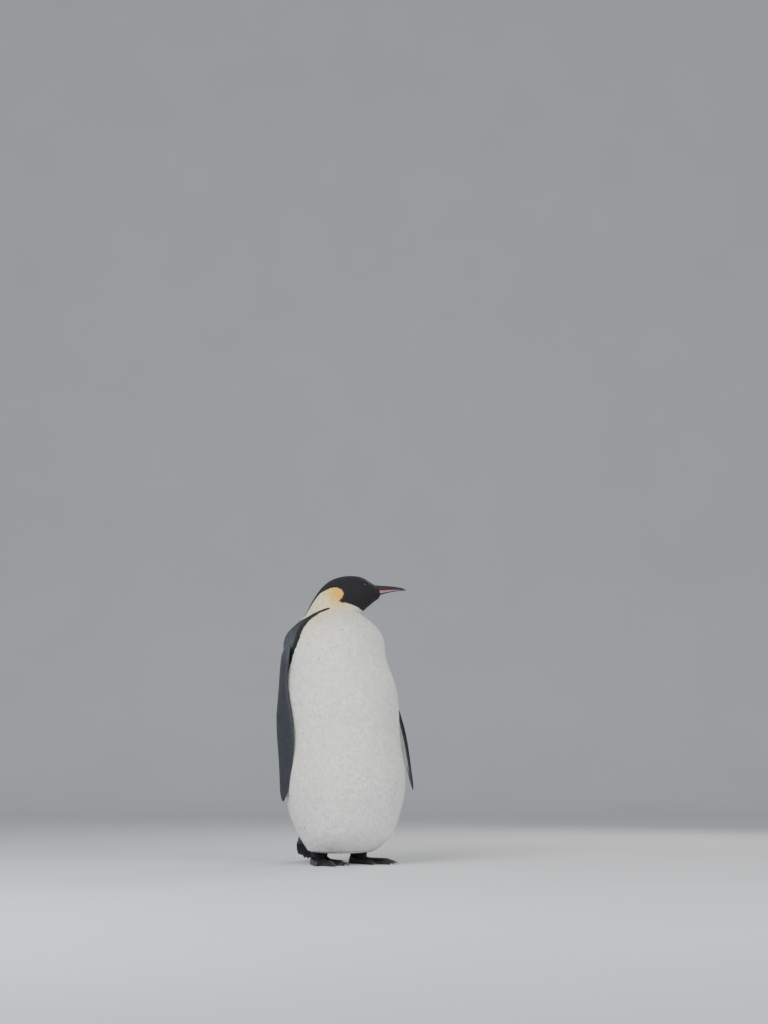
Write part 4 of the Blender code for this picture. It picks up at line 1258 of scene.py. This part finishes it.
class PENGUIN_OT_claws(bpy.types.Operator):
    """Three curved claws on each foot"""
    bl_idname = "penguin.claws"
    bl_label = "Claws"

    def execute(self, context):
        """A horn whose radius falls as the square root of what is left of its length, with a ridge
        along the top and shallow growth rings, curving down as the square of the share."""
        scene = context.scene
        body, limbs = Body(scene), scene.penguin_limbs
        finish = horn_finish("claw_finish", 0.36, 0.25)
        for name, side in SIDES:
            leg = Leg(scene, side, body)
            share, turn = grid(np.linspace(0, 0.997, 40), 24)
            radius = limbs.claw_radius * np.sqrt(1 - share) * (1 - 0.25 * share)
            radius = radius * (1 + 0.012 * np.sin(share * 60) - 0.05 * bump_at(share, 0.3, 0.2))
            radius = radius * (1 + 0.10 * bump_at(wrapped(turn - np.pi / 2), 0, 0.35)
                               - 0.12 * bump_at(wrapped(turn + np.pi / 2), 0, 0.5))
            meshes = []
            for toe, reach in zip((-1, 0, 1), limbs.toe_reach[:]):
                angle_off = toe * limbs.toe_spread
                along = reach - limbs.claw_hidden + share * (limbs.claw_length - SHORT_OF)
                across = np.cos(turn) * radius
                height = (limbs.claw_heights[0] * (1 - share**2) + limbs.claw_heights[1] * share**2
                          + np.sin(turn) * radius)
                height = np.maximum(height, OFF_FLOOR)
                points = leg.place(along * math.cos(angle_off) - across * math.sin(angle_off),
                                   along * math.sin(angle_off) + across * math.cos(angle_off), height)
                chart = ((0.02 + 0.33 * (toe + 1), 0.02), (0.31 + 0.33 * (toe + 1), 0.98))
                meshes.append(tube("claw", points, chart))
            tint = np.array(CLAW_TONE) * (1 + 1.6 * smooth(0.5, 1.0, share))[..., None]
            for mesh in meshes:
                add_colours(mesh, opaque(tint.reshape(-1, 3)))
            dressed(joined("claws_" + name, meshes, finish), "claw_horn",
                    *[f"claw_{name}_{n}" for n in (1, 2, 3)])
        return {"FINISHED"}


class PENGUIN_OT_tail_quills(bpy.types.Operator):
    """The stiff feathers of the tail, in a fan of overlapping layers"""
    bl_idname = "penguin.tail_quills"
    bl_label = "Tail quills"

    def execute(self, context):
        """Each quill is a flat tube along the tail: its middle keeps the same share of the tail's
        width and thickness, and its section is an oval with a raised shaft, closing to a point."""
        scene = context.scene
        body, coat = Body(scene), scene.penguin_coat
        tail = Tail(scene, body)
        finish = feather_finish(scene, "tail_quill_feathers", 0.55, 0.05, 0.5, 0.25)
        slate = opaque(tones(scene, "black")[0] * 1.6 + 0.004, 0.6)
        meshes = []
        lanes = np.linspace(-1, 1, coat.quills)
        for layer, level in enumerate(QUILL_LEVELS):
            between = layer % 2
            for column, lane in enumerate((lanes + between / coat.quills)[:coat.quills - between]):
                end = 0.992 - 0.10 * abs(lane)**2.2 - 0.05 * abs(level) - 0.02 * (column * 7 % 3)
                share, turn = grid(np.linspace(QUILL_ROOT, end, 20), 12)
                wide, thick = tail.sizes(share)
                close = np.clip((share - end + QUILL_ROUNDS) / QUILL_ROUNDS, 0, 1)
                close = np.sqrt(1 - 0.99 * close**2)
                blade = np.minimum(0.0075, wide * 1.5 / coat.quills + 0.002)
                across, rise = np.cos(turn), np.sin(turn)
                flat = 0.0006 + 0.0007 * bump_at(across, 0, 0.25)
                middle = tail.root + share[..., None] * (tail.tip - tail.root)
                hidden = 1 - 0.22 * smooth(0.66, 0.50, share)
                aside = hidden * lane * (wide - blade - 0.001) + across * blade * close
                up = (hidden * level * (thick - 0.0015) * np.sqrt(1 - 0.8 * lane**2)
                      + rise * flat * close)
                points = middle + aside[..., None] * (1.0, 0.0, 0.0) + up[..., None] * tail.up
                points = points + body.place
                points[..., 2] = np.maximum(points[..., 2], OFF_FLOOR)
                x, y = column / coat.quills + 0.002, layer / 5 + 0.002
                mesh = tube("quill", points, ((x, y), (x + 0.9 / coat.quills, y + 0.19)))
                add_colours(mesh, one_tint(slate, share.ravel()))
                luck = np.full_like(share, column * GOLDEN % 1)
                vane = np.stack([across, share / end * 0.9, luck], axis=-1)
                add_values(mesh, "vane", "FLOAT_VECTOR", vane)
                meshes.append(mesh)
        dressed(joined("tail_quills", meshes, finish), "slate_feathers")
        return {"FINISHED"}


class PENGUIN_OT_body_coat(bpy.types.Operator):
    """Feathers of the trunk, neck and head, with the bird's markings"""
    bl_idname = "penguin.body_coat"
    bl_label = "Body coat"

    def execute(self, context):
        """Vanes on staggered roots over the whole body, lying from the bill to the tail. They are
        sorted into pieces by height and by which side of the markings they lie on."""
        scene = context.scene
        body, coat = Body(scene), scene.penguin_coat
        draw = np.random.default_rng(coat.seed)
        along, around = staggered_roots(body, body.start * 0.93, body.end - 0.0012,
                                        lambda a: body.by_section(coat.spacing, a), draw)
        head = scene.penguin_head
        clear = np.ones(len(along), bool)
        for _, side in SIDES:
            middle = eye_centre(scene, body, side)
            axis, ahead, up = eye_axes(scene, body, side)
            for share in (0.0, 0.5, 1.0):
                step = share * coat.overlap * body.by_section(coat.spacing, along)
                off = body.at(along - step * 0.8, around) - middle
                reach = np.hypot(off @ ahead / CLEAR_OF_EYE[0], off @ up / CLEAR_OF_EYE[1])
                clear &= (reach > 1) | (off @ axis < 0)
        along, around = along[clear], around[clear]
        spacing = body.by_section(coat.spacing, along)
        depth = body.by_section(coat.depth, along)
        points, vane, seen = vanes(body, along, around, spacing, depth, coat, -1, draw)
        tints, inside = body_tint(scene, body, seen, around)
        tints[:, :3] *= draw.uniform(0.94, 1.05, (len(tints), 1))
        finishes = {
            "white": feather_finish(scene, "white_breast_feathers", 0.62, 0.12),
            "slate": feather_finish(scene, "slate_back_feathers", 0.60, 0.08, 0.45),
            "gold": feather_finish(scene, "golden_neck_feathers", 0.70, 0.06),
            "black": feather_finish(scene, "black_hood_feathers", 0.70, 0.06),
        }
        dark = inside > 0
        flank, collar = body.knot("flank") - 0.02, body.knot("collar") + 0.01
        low, high = along < flank, (along >= flank) & (along < collar)
        face = along > (body.knot("nape") + body.knot("occiput")) / 2
        throat = (along >= collar) & ~face
        pieces = [("coat_neck", throat, "gold", "gold_feathers"),
                  ("coat_head", face, "black", "black_feathers")]
        for name, half in (("left", wrapped(around) >= 0), ("right", wrapped(around) < 0)):
            pieces += [("coat_belly_" + name, low & ~dark & half, "white", "white_feathers"),
                       ("coat_breast_" + name, high & ~dark & half, "white", "white_feathers"),
                       ("coat_low_back_" + name, low & dark & half, "slate", "slate_feathers"),
                       ("coat_high_back_" + name, high & dark & half, "slate", "slate_feathers")]
        for name, chosen, finish, slot in pieces:
            piece = vane_piece(name, body, along[chosen], around[chosen], points[chosen],
                               vane[chosen], tints[chosen], finishes[finish])
            dressed(piece, slot)
        return {"FINISHED"}


class PENGUIN_OT_limb_coat(bpy.types.Operator):
    """Scale-like feathers of the flippers, ankles and rump"""
    bl_idname = "penguin.limb_coat"
    bl_label = "Limb coat"

    def cover(self, scene, name, slot, surface, start, end, spacing, depth, lie, tint, finish, keep):
        coat = scene.penguin_coat
        draw = np.random.default_rng(coat.seed + len(name))
        along, around = staggered_roots(surface, start, end, lambda a: np.full_like(a, spacing), draw)
        kept = keep(surface.at(along, around), along)
        along, around = along[kept], around[kept]
        size = np.full(len(along), spacing)
        points, vane, seen = vanes(surface, along, around, size, np.full(len(along), depth), coat,
                                   lie, draw)
        tints = tint(seen, around)
        tints[:, :3] *= draw.uniform(0.9, 1.1, (len(tints), 1))
        dressed(vane_piece(name, surface, along, around, points, vane, tints, finish), slot)

    def execute(self, context):
        """The same vanes as on the body, smaller. Those whose roots are inside the trunk are
        left out."""
        scene = context.scene
        body, coat = Body(scene), scene.penguin_coat
        blades = feather_finish(scene, "flipper_scale_feathers", 0.48, 0.05, 0.2, 0.5)
        rump = feather_finish(scene, "slate_rump_feathers", 0.60, 0.08, 0.45)
        shins = feather_finish(scene, "dark_ankle_feathers", 0.70, 0.10)
        black = opaque(tones(scene, "black")[0] * 1.3)
        for name, side in SIDES:
            self.cover(scene, "coat_flipper_" + name, "slate_feathers",
                       Flipper(scene, name, side, body), 0.02, 0.985, coat.flipper_spacing,
                       coat.limb_depth, 1, partial(flipper_tint, scene), blades,
                       lambda p, a: ~body.holds(p, -0.010))
            self.cover(scene, "coat_ankle_" + name, "black_feathers", Leg(scene, side, body),
                       0.20, 0.75, 0.0040, coat.limb_depth, -1,
                       partial(one_tint, black), shins,
                       lambda p, a: p[:, 2] < 0.055)
        self.cover(scene, "coat_rump", "slate_feathers", Tail(scene, body), 0.02, 0.56,
                   coat.rump_spacing, coat.rump_depth, 1, partial(tail_tint, scene), rump,
                   lambda p, a: ~body.holds(p, -0.012))
        return {"FINISHED"}


class PENGUIN_OT_stage(bpy.types.Operator):
    """A pale curved backdrop, soft lights and the camera"""
    bl_idname = "penguin.stage"
    bl_label = "Stage"

    def light(self, scene, name, power, size, place, tint):
        """A round soft light that faces the middle of the bird."""
        data = bpy.data.lights.new(name, "AREA")
        data.energy, data.size, data.shape, data.color = power, size, "DISK", tint
        obj = bpy.data.objects.new(name, data)
        scene.collection.objects.link(obj)
        way = unit(np.array((0.0, 0.0, 0.5)) - place)
        level = math.hypot(way[0], way[1])
        obj.location = place
        obj.rotation_euler = (math.pi / 2 + math.atan2(way[2], level), 0, math.atan2(-way[0], way[1]))

    def execute(self, context):
        """The backdrop is a floor that bends up a quarter circle to an upright wall, far behind."""
        scene = context.scene
        stage = scene.penguin_stage
        view = stage.view_from
        back = np.array([math.sin(view), -math.cos(view), 0.0])
        right = np.array([math.cos(view), math.sin(view), 0.0])
        front, bend, radius, far, top = 30, -6.5, 2.5, -9.0, 14.0
        run, turn = np.linspace(-30, 30, 60), np.linspace(0, np.pi / 2, 24)
        flat = np.linspace(front, bend, 20)[:-1]
        reach = np.concatenate([flat, bend - radius * np.sin(turn), [far]])
        rise = np.concatenate([np.zeros(len(flat)), radius * (1 - np.cos(turn)), [top]])
        points = (run[None, :, None] * right + reach[:, None, None] * back
                  + rise[:, None, None] * np.array([0.0, 0.0, 1.0]))
        index = np.arange(points.size // 3).reshape(points.shape[:2])
        finish = Finish("pale_backdrop", 0.85, Specular_IOR_Level=0.1)
        tone = finish.ease(finish.noise(1.5, 4.0), 0.3, 0.7)
        darker = [0.97 * channel for channel in stage.floor]
        finish.link(finish.mix(tone, (*darker, 1.0), (*stage.floor, 1.0)), "Base Color")
        new_object(new_mesh("backdrop", points.reshape(-1, 3), [cells(index)]),
                            finish.material)

        for name, size, towards, aside, up, tint in LIGHTS:
            place = back * towards + right * aside + (0, 0, up)
            self.light(scene, name, getattr(stage, name), size, place, tint)
        world = bpy.data.worlds.new("soft_sky")
        world.use_nodes = True
        sky = world.node_tree.nodes["Background"].inputs
        sky["Color"].default_value, sky["Strength"].default_value = (0.93, 0.96, 1.0, 1.0), stage.sky
        scene.world = world

        data = bpy.data.cameras.new("camera")
        data.lens, data.sensor_width = stage.lens, 36.0
        camera = bpy.data.objects.new("camera", data)
        scene.collection.objects.link(camera)
        camera.location = tuple(back * stage.distance + right * stage.aside + (0, 0, stage.height))
        camera.rotation_euler = (math.pi / 2 + stage.pitch, 0, view - stage.pan)
        scene.camera = camera
        return {"FINISHED"}


class PENGUIN_PT_sidebar(bpy.types.Panel):
    """Lists the pieces of the penguin"""
    bl_idname = "PENGUIN_PT_sidebar"
    bl_label = "Emperor Penguin"
    bl_space_type = "VIEW_3D"
    bl_region_type = "UI"
    bl_category = "Penguin"

    def draw(self, context):
        for operator in OPERATORS:
            self.layout.operator(operator.bl_idname)


OPERATORS = (PENGUIN_OT_skin, PENGUIN_OT_eyes, PENGUIN_OT_bill, PENGUIN_OT_claws,
             PENGUIN_OT_tail_quills, PENGUIN_OT_body_coat, PENGUIN_OT_limb_coat, PENGUIN_OT_stage)


def register():
    for item in (*GROUPS.values(), *OPERATORS, PENGUIN_PT_sidebar):
        bpy.utils.register_class(item)
    for name, group in GROUPS.items():
        setattr(bpy.types.Scene, name, PointerProperty(type=group))


def unregister():
    for name in GROUPS:
        delattr(bpy.types.Scene, name)
    for item in (PENGUIN_PT_sidebar, *OPERATORS, *GROUPS.values()):
        bpy.utils.unregister_class(item)


def main():
    register()
    for operator in OPERATORS:
        group, name = operator.bl_idname.split(".")
        getattr(getattr(bpy.ops, group), name)()
    bpy.context.view_layer.update()


if __name__ == "__main__":
    main()
